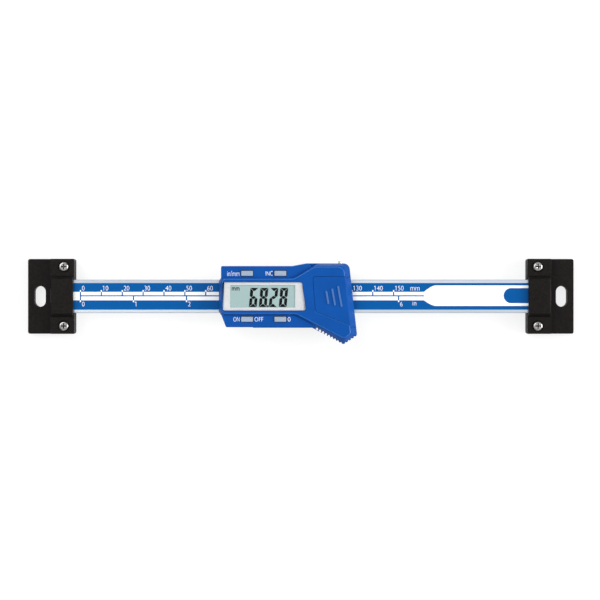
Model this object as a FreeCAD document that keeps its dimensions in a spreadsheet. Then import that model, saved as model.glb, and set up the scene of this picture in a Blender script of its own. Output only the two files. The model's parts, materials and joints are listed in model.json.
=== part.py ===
"""A digital linear scale: a graduated steel beam between two end brackets, and a sliding read-out
with a display, four keys, a button cell under a sliding cover, and a screw that locks it to the beam.

The scale lies on the backs of its brackets. +X runs along the beam in the direction of rising readings,
+Z points out of the face, and the origin is the centre of the left bracket's slot on the mounting plane.
The read-out's own pieces are drawn from the left edge of its panel and the middle of the beam.
All sizes are millimetres.
"""
import FreeCAD, Part
import math
import os
import re

import Sketcher

SIZES = {
    # measuring range, and where the read-out stands
    "travel": 150.0,
    "lead_in": 2.4,
    "lead_out": 0.1,
    "reading": 68.28,
    # beam, with the recess that holds the scale strip and the printed label
    "beam_width": 16.0,
    "beam_thickness": 4.0,
    "beam_chamfer": 0.3,
    "recess_width": 12.8,
    "recess_depth": 0.7,
    "strip_gap": 0.05,
    "strip_thickness": 0.55,
    "label_thickness": 0.1,
    # end brackets: a base with a slotted flange, and a clamp that bridges the beam
    "bracket_width": 36.0,
    "bracket_corner": 1.0,
    "bracket_edge": 0.4,
    "base_thickness": 5.0,
    "flange_length": 11.2,
    "slot_width": 5.5,
    "slot_length": 10.0,
    "slot_edge": 5.8,
    "clamp_length": 11.5,
    "ear_height": 3.6,
    "bridge_rise": 2.5,
    "bridge_inset": 0.3,
    "bridge_slope": 0.9,
    "bridge_lap": 0.2,
    "bridge_spread": 1.7,
    "bridge_corner": 0.5,
    "end_wall": 1.4,
    "end_gap": 0.3,
    "beam_side_gap": 0.1,
    # clamp screws
    "clamp_edge": 3.8,
    "clamp_inset": 4.9,
    "clamp_shank": 2.4,
    "clamp_head": 4.5,
    "clamp_head_height": 1.8,
    "clamp_head_round": 0.8,
    "clamp_sink_play": 0.8,
    "clamp_sink_depth": 0.55,
    "clamp_floor": 1.0,
    # small screws, and the cross in every screw's head
    "small_shank": 1.7,
    "small_head": 3.6,
    "small_head_height": 1.3,
    "small_sink_play": 0.4,
    "screw_play": 0.1,
    "pilot_spare": 0.2,
    "cross_arm": 1.35,
    "cross_blade": 0.28,
    "cross_depth": 0.8,
    # running gaps between the read-out and the beam, and how far a cut passes a face
    "back_gap": 0.2,
    "face_gap": 0.15,
    "side_gap": 0.15,
    "overrun": 1.0,
    # slider frame
    "frame_left": 0.6,
    "frame_foot": 9.2,
    "frame_slant": 1.8,
    "frame_right": 60.2,
    "frame_rail": 5.75,
    "frame_corner": 1.5,
    "frame_web": 0.85,
    "boss_left": 41.5,
    "boss_inset": 0.5,
    # back plate, with tapped holes for what the read-out is fastened to
    "plate_thickness": 3.0,
    "plate_left": 13.5,
    "plate_right": 58.0,
    "plate_peek": 0.4,
    "plate_inset": 0.5,
    "plate_corner": 2.0,
    "mount_left": 22.0,
    "mount_spacing": 24.0,
    "mount_height": 23.0,
    "mount_hole": 2.5,
    "plate_screw_left": 17.0,
    "plate_screw_right": 53.0,
    "plate_screw_inset": 2.3,
    "plate_screw_bite": 3.6,
    # screws that hold the front housing on the frame
    "housing_screw_left": 4.4,
    "housing_screw_right": 49.5,
    "housing_screw_inset": 2.5,
    "housing_screw_crown": 3.4,
    "housing_screw_sink": 1.5,
    "pilot_depth": 3.7,
    # gib and its leaf spring
    "gib_left": 15.0,
    "gib_thickness": 0.84,
    "gib_edge_gap": 0.15,
    "gib_gap": 0.06,
    "gib_end_gap": 1.0,
    "gib_end_wall": 1.0,
    "leaf_rise": 0.6,
    "leaf_thickness": 0.15,
    "leaf_gap": 0.02,
    "leaf_end_gap": 0.5,
    "leaf_edge_gap": 0.3,
    "leaf_foot": 4.0,
    "leaf_flat": 6.0,
    # lock screw and the pad that it drives
    "lock_along": 56.85,
    "lock_height": 2.0,
    "lock_shank": 1.75,
    "lock_proud": 1.2,
    "lock_slot": 0.4,
    "lock_slot_depth": 0.6,
    "pad_diameter": 2.0,
    "pad_length": 1.3,
    "pad_gap": 0.12,
    "pad_seat": 0.02,
    # circuit board and what stands on it
    "board_left": 2.8,
    "board_right": 41.2,
    "board_inset": 1.0,
    "board_thickness": 0.8,
    "board_gap": 0.2,
    "chip_left": 14.0,
    "chip_size": 8.0,
    "chip_height": 1.2,
    "zebra_left": 4.0,
    "zebra_length": 32.0,
    "zebra_width": 1.6,
    "zebra_inset": 1.0,
    "dome_diameter": 3.2,
    "dome_height": 0.65,
    "dome_round": 0.45,
    # display: its glass, the white frame on it, and the clear window
    "lcd_thickness": 2.0,
    "lcd_left": 2.2,
    "lcd_right": 38.2,
    "lcd_half": 7.2,
    "lcd_gap": 0.4,
    "bezel_thickness": 0.8,
    "window_depth": 2.5,
    "window_sink": 0.2,
    "window_edge": 0.2,
    "window_left": 0.95,
    "window_right_high": 38.6,
    "window_right_low": 40.45,
    "window_high": 6.7,
    "window_low": 6.8,
    "window_corner": 0.8,
    "window_gap": 0.1,
    "view_left": 4.3,
    "view_right": 35.4,
    "view_high": 5.3,
    "view_low": 5.4,
    # front housing: outline of its rim
    "tab_reach": 1.1,
    "tab_half": 7.2,
    "tab_foot": 8.4,
    "panel_lip_high": 0.5,
    "panel_lip_low": 0.8,
    "panel_slant": 2.4,
    "panel_corner": 0.8,
    "step_start": 33.8,
    "step_end": 40.7,
    "step_round": 6.0,
    "crown_rise": 1.3,
    "crown_right": 61.0,
    "crown_corner": 3.0,
    "grip_start": 44.6,
    "tip_along": 58.3,
    "tip_reach": 8.3,
    "tip_round": 1.8,
    "heel_along": 64.8,
    "heel_reach": 4.0,
    "heel_round": 1.8,
    # front housing: heights, and the raised band that widens to a fan
    "rim_height": 3.0,
    "band_rise": 1.8,
    "band_half": 8.6,
    "band_draft": 0.4,
    "band_slope": 1.3,
    "fan_low": 32.2,
    "fan_low_slope": 3.3,
    "fan_high": 33.4,
    "fan_high_slope": 1.2,
    "fan_crown": 46.0,
    "fan_crown_slope": 1.6,
    "fan_round": 6.0,
    "tip_inset": 2.45,
    "tip_lean": 0.3,
    "heel_inset": 2.8,
    "heel_lift": 0.8,
    "crown_inset": 1.3,
    "edge_inset": 2.3,
    "face_chamfer": 0.5,
    "panel_chamfer": 0.3,
    "tooth_pitch": 1.5,
    "tooth_radius": 0.65,
    "tooth_nick": 0.4,
    "tooth_lip": 1.2,
    "tooth_margin": 1.4,
    # front housing: cavity
    "cavity_left": 8.2,
    "cavity_right": 41.5,
    "cavity_inset": 0.7,
    "panel_skin": 1.8,
    # keys
    "key_left": 12.4,
    "key_right": 28.2,
    "key_inset": 3.5,
    "key_length": 5.65,
    "key_width": 2.5,
    "key_corner": 0.35,
    "key_proud": 0.5,
    "key_gap": 0.5,
    "key_edge": 0.3,
    "key_hole_gap": 0.25,
    "key_flange": 0.7,
    "key_flange_thickness": 0.9,
    "key_flange_gap": 0.2,
    # button cell and its contacts
    "cell_along": 52.6,
    "cell_across": 0.6,
    "cell_diameter": 11.6,
    "cell_height": 5.4,
    "cell_cap": 9.6,
    "cell_cap_height": 0.7,
    "cell_edge": 0.4,
    "cell_gap": 0.2,
    "contact_thickness": 0.3,
    "contact_left": 38.0,
    "contact_width": 4.0,
    "contact_corner": 0.4,
    "contact_gap": 0.4,
    "clip_low": 3.2,
    "clip_width": 2.0,
    "clip_height": 4.0,
    # battery cover, with tongues along two edges and finger ribs on its face
    "cover_left_high": 43.7,
    "cover_left_low": 44.9,
    "cover_high": 9.35,
    "cover_low": 7.2,
    "cover_slant": 0.398,
    "cover_corner": 1.2,
    "cover_skin": 0.8,
    "cover_tongue": 0.7,
    "cover_tongue_reach": 0.7,
    "cover_end": 60.0,
    "cover_gap": 0.15,
    "rib_first": 50.55,
    "rib_middle": -0.6,
    "rib_length": 6.2,
    "rib_pitch": 2.95,
    "rib_growth": 1.8,
    "rib_shift": 0.25,
    "rib_lean": 0.18,
    "rib_width": 0.95,
    "rib_corner": 0.35,
    "rib_rise": 0.45,
}

PLACES = {
    # levels, from the mounting plane outwards
    "beam_face": "base_thickness + beam_thickness",
    "recess_floor": "beam_face - recess_depth",
    "strip_top": "recess_floor + strip_thickness",
    "ear_top": "base_thickness + ear_height",
    "bridge_top": "beam_face + bridge_rise",
    "sink_floor": "ear_top - clamp_sink_depth",
    "frame_back": "base_thickness - back_gap",
    "plate_back": "frame_back - plate_thickness",
    "lock_level": "base_thickness + lock_height",
    "channel_top": "beam_face + face_gap",
    "board_top": "channel_top + board_thickness",
    "housing_back": "channel_top + frame_web",
    "cell_back": "housing_back + contact_thickness",
    "cell_top": "cell_back + cell_height",
    "cover_back": "cell_top + cell_gap",
    "cover_split": "cover_back + cover_tongue",
    "face_top": "cover_split + cover_skin",
    "panel_top": "face_top - band_rise",
    "cavity_top": "panel_top - panel_skin",
    "tooth_floor": "housing_back + tooth_lip",
    "rim_top": "housing_back + rim_height",
    "lcd_top": "face_top - window_depth",
    "lcd_back": "lcd_top - lcd_thickness",
    "bezel_top": "lcd_top + bezel_thickness",
    "window_top": "face_top - window_sink",
    "key_top": "panel_top + key_proud",
    "key_bottom": "board_top + dome_height + key_gap",
    "below": "housing_back - overrun",
    "above": "face_top + overrun",
    # places across the beam
    "strip_half": "recess_width / 2 - strip_gap",
    "bridge_top_half": "beam_width / 2 + bridge_lap",
    "bridge_foot_half": "bridge_top_half + bridge_spread",
    "clamp_across": "bracket_width / 2 - clamp_edge",
    "channel_half": "beam_width / 2 + side_gap",
    "frame_half": "channel_half + frame_rail",
    "gib_face": "beam_width / 2 + gib_gap",
    "gib_wall": "gib_face + gib_thickness + leaf_rise + leaf_thickness + 2 * leaf_gap",
    "pad_start": "beam_width / 2 + pad_gap",
    "panel_high": "frame_half + panel_lip_high",
    "panel_low": "frame_half + panel_lip_low",
    "crown": "panel_high + crown_rise",
    "boss_high": "crown - boss_inset",
    "lock_tip": "crown + lock_proud",
    "tip_drop": "panel_low + tip_reach",
    "heel_drop": "panel_low + heel_reach",
    "plate_low": "panel_low + plate_peek",
    "plate_high": "frame_half - plate_inset",
    "plate_screw_across": "frame_half - plate_screw_inset",
    "housing_screw_across": "frame_half - housing_screw_inset",
    "housing_screw_high": "crown - housing_screw_crown",
    "board_half": "frame_half - board_inset",
    "cavity_half": "frame_half - cavity_inset",
    "key_across": "panel_high - key_inset",
    "zebra_across": "lcd_half - zebra_inset",
    # places along the beam
    "left_face": "clamp_length + flange_length - slot_edge",
    "right_face": "left_face + lead_in + heel_along + travel + lead_out",
    "slider_at": "left_face + lead_in + reading",
    "beam_seat": "clamp_length - end_wall - end_gap",
    "beam_left": "left_face - beam_seat",
    "beam_length": "right_face + beam_seat - beam_left",
    "cover_right": "heel_along + overrun",
    "gib_right": "housing_screw_right - small_sink / 2 - gib_end_wall - gib_end_gap",
    # diameters that follow others
    "clamp_sink": "clamp_head + clamp_sink_play",
    "small_sink": "small_head + small_sink_play",
    "lock_bore": "pad_diameter + screw_play",
    # the clip stands beside the cell, where the cell's side comes nearest to it
    "clip_back": "cell_along - sqrt((cell_diameter / 2) ^ 2 - (clip_low - cell_across) ^ 2) - cell_gap",
}

KEYS = {
    "units_key": ("key_left", "key_across"),
    "mode_key": ("key_right", "key_across"),
    "power_key": ("key_left", "-key_across"),
    "zero_key": ("key_right", "-key_across"),
}
BOARD_SCREWS = [
    ("housing_screw_left", "housing_screw_across"),
    ("housing_screw_left", "-housing_screw_across"),
]
HOUSING_SCREWS = BOARD_SCREWS + [
    ("housing_screw_right", "housing_screw_high"),
    ("housing_screw_right", "-housing_screw_across"),
]
PLATE_SCREWS = [
    ("plate_screw_left", "plate_screw_across"),
    ("plate_screw_left", "-plate_screw_across"),
    ("plate_screw_right", "plate_screw_across"),
    ("plate_screw_right", "-plate_screw_across"),
]
PLATE_MOUNTS = [
    ("mount_left", "mount_height / 2"),
    ("mount_left", "-mount_height / 2"),
    ("mount_left + mount_spacing", "mount_height / 2"),
    ("mount_left + mount_spacing", "-mount_height / 2"),
]
RIB_COUNT = 3
LEVEL_TOLERANCE = 1e-4
WORD = re.compile(r"[a-z][a-z_]+")

doc = FreeCAD.newDocument("digital_linear_scale")
pieces = []


def bound(expression, inside=""):
    """The expression with each size's name led by the name of the sheet that holds it."""

    def lead(match):
        word = match.group()
        home = "sizes" if word in SIZES else "places" if word in PLACES else inside
        return word if home == inside else f"{home}.{word}"

    return WORD.sub(lead, expression)


def fill_sheet(name, rows):
    """A sheet with one named cell for each row."""
    sheet = doc.addObject("Spreadsheet::Sheet", name)
    for row, (alias, content) in enumerate(rows.items(), start=1):
        sheet.set(f"A{row}", alias)
        sheet.set(f"B{row}", content)
        sheet.setAlias(f"B{row}", alias)
    doc.recompute()
    return sheet


sizes = fill_sheet("sizes", {name: str(size) for name, size in SIZES.items()})
fill_sheet("places", {name: "=" + bound(text, "places") for name, text in PLACES.items()})


def value(expression):
    """The number that an expression of sizes comes to."""
    return float(sizes.evalExpression(bound(expression)))


def bind(thing, name, expression):
    """Ties one property of a document object to an expression of sizes."""
    thing.setExpression(name, bound(expression))


def piece(thing, label):
    """Names a finished sub-part, which is later written to a file of that name."""
    thing.Label = label
    pieces.append(thing)


def new_body(label, along="slider_at"):
    """An empty body whose own zero lies at a place along the beam."""
    body = doc.addObject("PartDesign::Body", label)
    body.AllowCompound = True
    bind(body, ".Placement.Base.x", along)
    return body


def new_sketch(body, at, plane="XY_Plane"):
    """An empty sketch on one of the body's planes, moved along that plane's normal."""
    sketch = body.newObject("Sketcher::SketchObject", body.Name + "_sketch")
    support = next(part for part in body.Origin.OriginFeatures if part.Role == plane)
    sketch.AttachmentSupport = (support, [""])
    sketch.MapMode = "FlatFace"
    bind(sketch, ".AttachmentOffset.Base.z", at)
    return sketch


def constrain(sketch, expression, kind, *where):
    """A constraint whose size is an expression."""
    index = sketch.addConstraint(Sketcher.Constraint(kind, *where, value(expression)))
    bind(sketch, f"Constraints[{index}]", expression)


def pin(sketch, geometry, point, x, y):
    """Holds one point of a sketch at a place."""
    constrain(sketch, x, "DistanceX", -1, 1, geometry, point)
    constrain(sketch, y, "DistanceY", -1, 1, geometry, point)


def add_circle(sketch, x, y, diameter):
    """A circle about (x, y)."""
    centre = FreeCAD.Vector(value(x), value(y), 0)
    circle = sketch.addGeometry(Part.Circle(centre, FreeCAD.Vector(0, 0, 1), value(diameter) / 2))
    pin(sketch, circle, 3, x, y)
    constrain(sketch, diameter, "Diameter", circle)


def corner_arc(before, corner, after, radius):
    """The arc that rounds a corner, the ends that its two sides keep, and whether the outline turns left."""
    back = (before - corner).normalize()
    ahead = (after - corner).normalize()
    half = math.acos(back.dot(ahead)) / 2
    reach = radius / math.tan(half)
    centre = corner + (back + ahead).normalize() * (radius / math.sin(half))
    entry = corner + back * reach
    leave = corner + ahead * reach
    turns_left = back.cross(ahead).z < 0
    first, last = (entry, leave) if turns_left else (leave, entry)
    begin = math.atan2(first.y - centre.y, first.x - centre.x)
    end = math.atan2(last.y - centre.y, last.x - centre.x)
    if end < begin:
        end += 2 * math.pi
    circle = Part.Circle(centre, FreeCAD.Vector(0, 0, 1), radius)
    return Part.ArcOfCircle(circle, begin, end), entry, leave, turns_left


def add_loop(sketch, corners):
    """A closed outline through corners (x, y), or (x, y, radius) where the corner is rounded."""
    spots = [FreeCAD.Vector(value(corner[0]), value(corner[1]), 0) for corner in corners]
    count = len(corners)
    arcs = {}
    for i, corner in enumerate(corners):
        if len(corner) == 3:
            arcs[i] = corner_arc(spots[i - 1], spots[i], spots[(i + 1) % count], value(corner[2]))
    lines = []
    for i in range(count):
        following = (i + 1) % count
        start = arcs[i][2] if i in arcs else spots[i]
        stop = arcs[following][1] if following in arcs else spots[following]
        lines.append(sketch.addGeometry(Part.LineSegment(start, stop)))
    for i, corner in enumerate(corners):
        arriving, leaving = lines[i - 1], lines[i]
        if i not in arcs:
            sketch.addConstraint(Sketcher.Constraint("Coincident", arriving, 2, leaving, 1))
            pin(sketch, leaving, 1, corner[0], corner[1])
            continue
        arc = sketch.addGeometry(arcs[i][0])
        entry, leave = (1, 2) if arcs[i][3] else (2, 1)
        sketch.addConstraint(Sketcher.Constraint("Tangent", arriving, 2, arc, entry))
        sketch.addConstraint(Sketcher.Constraint("Tangent", arc, leave, leaving, 1))
        constrain(sketch, corner[2], "Radius", arc)
        mark = sketch.addGeometry(Part.Point(spots[i]), True)
        pin(sketch, mark, 1, corner[0], corner[1])
        sketch.addConstraint(Sketcher.Constraint("PointOnObject", mark, 1, arriving))
        sketch.addConstraint(Sketcher.Constraint("PointOnObject", mark, 1, leaving))


def add_slot(sketch, x, width, length):
    """A slot with round ends that runs across the beam, centred on it."""
    radius = value(width) / 2
    reach = (value(length) - value(width)) / 2
    middle = value(x)
    normal = FreeCAD.Vector(0, 0, 1)
    high = Part.Circle(FreeCAD.Vector(middle, reach, 0), normal, radius)
    low = Part.Circle(FreeCAD.Vector(middle, -reach, 0), normal, radius)
    top = sketch.addGeometry(Part.ArcOfCircle(high, 0, math.pi))
    bottom = sketch.addGeometry(Part.ArcOfCircle(low, math.pi, 2 * math.pi))
    right, left = [
        sketch.addGeometry(Part.LineSegment(
            FreeCAD.Vector(middle + side * radius, -side * reach, 0),
            FreeCAD.Vector(middle + side * radius, side * reach, 0),
        ))
        for side in (1, -1)
    ]
    for first, following in ((right, top), (top, left), (left, bottom), (bottom, right)):
        sketch.addConstraint(Sketcher.Constraint("Tangent", first, 2, following, 1))
    for arc, sign in ((top, ""), (bottom, "-")):
        pin(sketch, arc, 3, x, f"{sign}({length} - {width}) / 2")
    constrain(sketch, f"({width}) / 2", "Radius", top)


def pad(body, sketch, length):
    """Adds the sketch's outline, carried along its normal."""
    feature = body.newObject("PartDesign::Pad", body.Name + "_pad")
    feature.Profile = sketch
    bind(feature, "Length", length)
    doc.recompute()


def pocket(body, sketch, length):
    """Cuts the sketch's outline, carried along its normal, out of the body."""
    before = body.Shape.Volume
    feature = body.newObject("PartDesign::Pocket", body.Name + "_pocket")
    feature.Profile = sketch
    feature.Reversed = True
    bind(feature, "Length", length)
    doc.recompute()
    if not body.Shape.Volume < before:
        raise RuntimeError(f"a pocket of {body.Name} cuts nothing")


def slab(body, loops, low, high, plane="XY_Plane", cut=False):
    """Adds, or cuts, closed outlines between two levels."""
    sketch = new_sketch(body, low, plane)
    for corners in loops:
        add_loop(sketch, corners)
    carry = pocket if cut else pad
    carry(body, sketch, f"{high} - ({low})")


def discs(body, centres, diameter, low, high, cut=False):
    """Adds, or cuts, round bars of one diameter between two levels."""
    sketch = new_sketch(body, low)
    for x, y in centres:
        add_circle(sketch, x, y, diameter)
    carry = pocket if cut else pad
    carry(body, sketch, f"{high} - ({low})")


def loft(body, *sections):
    """Adds a form with straight sides through outlines that have as many corners, each at its level."""
    sketches = []
    for corners, level in sections:
        sketches.append(new_sketch(body, level))
        add_loop(sketches[-1], corners)
    feature = body.newObject("PartDesign::AdditiveLoft", body.Name + "_loft")
    feature.Profile = sketches[0]
    feature.Sections = sketches[1:]
    feature.Ruled = True
    doc.recompute()


def drawn_in(corners, inset):
    """The outline moved inwards by an inset. Its corners are given counterclockwise."""
    spots = [FreeCAD.Vector(value(corner[0]), value(corner[1]), 0) for corner in corners]
    sides = [(spots[(i + 1) % len(spots)] - spot).normalize() for i, spot in enumerate(spots)]
    inwards = [FreeCAD.Vector(-side.y, side.x, 0) for side in sides]
    moved = []
    for i, corner in enumerate(corners):
        step = (inwards[i - 1] + inwards[i]) / (1 + inwards[i - 1].dot(inwards[i]))
        moved.append((f"{corner[0]} + {step.x} * {inset}", f"{corner[1]} + {step.y} * {inset}", *corner[2:]))
    return moved


def round_edges(body, level, radius, chosen=None):
    """Rounds the edges that lie at one level, or those of them that are chosen by their middle."""
    height = value(level)
    base = body.Tip
    names = []
    for number, edge in enumerate(base.Shape.Edges, start=1):
        box = edge.BoundBox
        flat = abs(box.ZMin - height) < LEVEL_TOLERANCE and abs(box.ZMax - height) < LEVEL_TOLERANCE
        if flat and (chosen is None or chosen(box.Center)):
            names.append(f"Edge{number}")
    feature = body.newObject("PartDesign::Fillet", body.Name + "_round")
    feature.Base = (base, names)
    bind(feature, "Radius", radius)
    doc.recompute()


def rectangle(x, y, radius=None):
    """Corners of a rectangle between two pairs of ends, rounded if a radius is given."""
    corners = [(x[0], y[0]), (x[1], y[0]), (x[1], y[1]), (x[0], y[1])]
    return [corner + (radius,) for corner in corners] if radius else corners


def both(half):
    """The two ends of a width that is centred on the beam."""
    return f"-({half})", half


def about(middle, half):
    """The two ends of a width that is centred on a place."""
    return f"{middle} - ({half})", f"{middle} + {half}"


def block(label, x, y, z):
    """A plain block between pairs of ends, placed as the read-out's other pieces are."""
    solid = doc.addObject("Part::Box", label)
    bind(solid, "Length", f"{x[1]} - ({x[0]})")
    bind(solid, "Width", f"{y[1]} - ({y[0]})")
    bind(solid, "Height", f"{z[1]} - ({z[0]})")
    bind(solid, ".Placement.Base.x", f"slider_at + {x[0]}")
    bind(solid, ".Placement.Base.y", y[0])
    bind(solid, ".Placement.Base.z", z[0])
    return solid


def cross(x, y):
    """Corners of the cross in a screw's head: one arm's two corners and the notch, four times round."""
    corners = []
    for (across_x, across_y), (along_x, along_y) in (
        ((1, 0), (0, 1)), ((0, 1), (-1, 0)), ((-1, 0), (0, -1)), ((0, -1), (1, 0))
    ):
        for arm, blade in (("cross_arm", "-cross_blade"), ("cross_arm", "cross_blade"),
                           ("cross_blade", "cross_blade")):
            corners.append((
                f"{x} + {across_x} * {arm} + {along_x} * ({blade})",
                f"{y} + {across_y} * {arm} + {along_y} * ({blade})",
            ))
    return corners


def build_beam():
    """The steel beam, the scale strip in its recess, and the printed label on the strip."""
    half, edge, groove = "beam_width / 2", "beam_chamfer", "recess_width / 2"
    right_side = [
        (f"{half} - {edge}", "base_thickness"),
        (half, f"base_thickness + {edge}"),
        (half, f"beam_face - {edge}"),
        (f"{half} - {edge}", "beam_face"),
        (groove, "beam_face"),
        (groove, "recess_floor"),
    ]
    left_side = [(f"-({across})", level) for across, level in reversed(right_side)]
    beam = new_body("beam", "beam_left")
    slab(beam, [right_side + left_side], "0", "beam_length", "YZ_Plane")
    piece(beam, "beam")
    strip_plan = rectangle(("0", "beam_length"), both("strip_half"))
    strip = new_body("scale_strip", "beam_left")
    slab(strip, [strip_plan], "recess_floor", "strip_top")
    piece(strip, "scale_strip")
    label = new_body("scale_label", "beam_left")
    slab(label, [strip_plan], "strip_top", "strip_top + label_thickness")
    piece(label, "scale_label")


def build_bracket(side, face, out):
    """One end bracket, drawn from the clamp's face outwards: slotted base, clamp and two screws."""
    wide = both("bracket_width / 2")
    length = "(clamp_length + flange_length)"
    screws = [(f"{out} * clamp_inset", "clamp_across"), (f"{out} * clamp_inset", "-clamp_across")]
    hole = "clamp_shank + screw_play"

    base = new_body(f"{side}_bracket", face)
    slab(base, [rectangle(("0", f"{out} * {length}"), wide, "bracket_corner")], "0", "base_thickness")
    slot = new_sketch(base, "0")
    add_slot(slot, f"{out} * ({length} - slot_edge)", "slot_width", "slot_length")
    pocket(base, slot, "base_thickness")
    discs(base, screws, hole, "clamp_floor", "base_thickness", cut=True)
    rim_across = value("bracket_width / 2 - bracket_corner")
    rim_along = value("bracket_corner")
    far_along = value(f"{length} - bracket_corner")
    round_edges(
        base, "base_thickness", "bracket_edge",
        lambda middle: abs(middle.y) > rim_across or not rim_along < abs(middle.x) < far_along,
    )
    piece(base, f"{side}_bracket")

    clamp = new_body(f"{side}_clamp", face)
    ears = rectangle(("0", f"{out} * clamp_length"), wide, "bracket_edge")
    slab(clamp, [ears], "base_thickness", "ear_top")
    foot = (f"{out} * bridge_inset", f"{out} * clamp_length")
    top = (f"{out} * bridge_inset", f"{out} * (clamp_length - bridge_slope)")
    loft(
        clamp,
        (rectangle(foot, both("bridge_foot_half"), "bridge_corner"), "ear_top"),
        (rectangle(top, both("bridge_top_half"), "bridge_corner"), "bridge_top"),
    )
    seat = (f"-{out} * overrun", f"{out} * (clamp_length - end_wall)")
    beam_room = rectangle(seat, both("beam_width / 2 + beam_side_gap"))
    slab(clamp, [beam_room], "base_thickness", "beam_face", cut=True)
    discs(clamp, screws, hole, "base_thickness", "ear_top", cut=True)
    discs(clamp, screws, "clamp_sink", "sink_floor", "ear_top", cut=True)
    round_edges(clamp, "bridge_top", "bridge_corner")
    piece(clamp, f"{side}_clamp")

    bolts = new_body(f"{side}_clamp_screws", face)
    head_top = "sink_floor + clamp_head_height"
    discs(bolts, screws, "clamp_shank", "clamp_floor + pilot_spare", "sink_floor")
    discs(bolts, screws, "clamp_head", "sink_floor", head_top)
    round_edges(bolts, head_top, "clamp_head_round")
    slab(bolts, [cross(x, y) for x, y in screws], f"{head_top} - cross_depth", head_top, cut=True)
    piece(bolts, f"{side}_clamp_screws")


def build_frame():
    """The moulded frame that runs along the beam."""
    frame = new_body("slider_frame")
    outline = [
        ("frame_left", "-frame_foot"),
        ("frame_left + frame_slant", "-frame_half", "frame_corner"),
        ("frame_right", "-frame_half", "frame_corner"),
        ("frame_right", "boss_high", "frame_corner"),
        ("boss_left", "boss_high", "frame_corner"),
        ("boss_left - frame_corner", "frame_half", "frame_corner"),
        ("frame_left", "frame_half", "frame_corner"),
    ]
    slab(frame, [outline], "frame_back", "housing_back")
    run = rectangle(("frame_left - overrun", "frame_right + overrun"), both("channel_half"))
    slab(frame, [run], "frame_back", "channel_top", cut=True)
    board_along = ("board_left - board_gap", "board_right + board_gap")
    bay = rectangle(board_along, both("board_half + board_gap"), "board_gap")
    slab(frame, [bay], "channel_top", "housing_back", cut=True)
    gib_along = ("gib_left - gib_end_gap", "gib_right + gib_end_gap")
    gib_bay = rectangle(gib_along, ("-gib_wall", "-gib_face"))
    slab(frame, [gib_bay], "frame_back", "channel_top", cut=True)
    discs(frame, HOUSING_SCREWS, "small_shank + 2 * screw_play", "frame_back", "housing_back", cut=True)
    discs(frame, HOUSING_SCREWS, "small_sink", "frame_back", "frame_back + housing_screw_sink", cut=True)
    pilot_end = "frame_back + plate_screw_bite + pilot_spare"
    discs(frame, PLATE_SCREWS, "small_shank + screw_play", "frame_back", pilot_end, cut=True)
    bore = new_sketch(frame, "-boss_high - overrun", "XZ_Plane")
    add_circle(bore, "lock_along", "lock_level", "lock_bore")
    pocket(frame, bore, "boss_high + overrun - beam_width / 2")
    piece(frame, "slider_frame")


def build_plate():
    """The steel plate that closes the frame's back, and the small screws of plate and housing."""
    plate = new_body("back_plate")
    plan = rectangle(("plate_left", "plate_right"), ("-plate_low", "plate_high"), "plate_corner")
    slab(plate, [plan], "plate_back", "frame_back")
    discs(plate, PLATE_MOUNTS, "mount_hole", "plate_back", "frame_back", cut=True)
    discs(plate, PLATE_SCREWS, "small_shank + 2 * screw_play", "plate_back", "frame_back", cut=True)
    seat = "plate_back + screw_play + small_head_height"
    discs(plate, PLATE_SCREWS, "small_sink", "plate_back", seat, cut=True)
    piece(plate, "back_plate")
    build_small_screws("back_plate_screws", PLATE_SCREWS, seat, "frame_back + plate_screw_bite")
    seat = "frame_back + housing_screw_sink"
    build_small_screws("housing_screws", HOUSING_SCREWS, seat, "housing_back + pilot_depth - pilot_spare")


def build_small_screws(label, centres, seat, tip):
    """A set of small screws that go in from the back, with their heads under one seat."""
    screws = new_body(label)
    head_back = f"{seat} - small_head_height"
    discs(screws, centres, "small_head", head_back, seat)
    discs(screws, centres, "small_shank", seat, tip)
    slab(screws, [cross(x, y) for x, y in centres], head_back, f"{head_back} + cross_depth", cut=True)
    piece(screws, label)


def build_gib():
    """The brass gib that takes up the play on the beam's lower edge, and the leaf spring behind it."""
    gib = new_body("gib")
    back = "-gib_face - gib_thickness"
    low = "base_thickness + gib_edge_gap"
    high = "beam_face - gib_edge_gap"
    slab(gib, [rectangle(("gib_left", "gib_right"), (back, "-gib_face"))], low, high)
    piece(gib, "gib")

    leaf = new_body("gib_spring")
    wall = "-gib_wall + leaf_gap"
    crest = f"{back} - leaf_gap - leaf_thickness"
    middle = "(gib_left + gib_right) / 2"
    bend = [
        ("gib_left + leaf_end_gap", wall),
        ("gib_left + leaf_foot", wall),
        (f"{middle} - leaf_flat / 2", crest),
        (f"{middle} + leaf_flat / 2", crest),
        ("gib_right - leaf_foot", wall),
        ("gib_right - leaf_end_gap", wall),
    ]
    face = [(along, f"{across} + leaf_thickness") for along, across in reversed(bend)]
    slab(leaf, [bend + face], f"{low} + leaf_edge_gap", f"{high} - leaf_edge_gap")
    piece(leaf, "gib_spring")


def bar_across(label, diameter, start, stop):
    """A round bar that points across the beam, on the lock screw's axis."""
    bar = doc.addObject("Part::Cylinder", label)
    bar.Placement.Rotation = FreeCAD.Rotation(FreeCAD.Vector(1, 0, 0), -90)
    bind(bar, "Radius", f"{diameter} / 2")
    bind(bar, "Height", f"{stop} - ({start})")
    bind(bar, ".Placement.Base.x", "slider_at + lock_along")
    bind(bar, ".Placement.Base.y", start)
    bind(bar, ".Placement.Base.z", "lock_level")
    return bar


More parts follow.
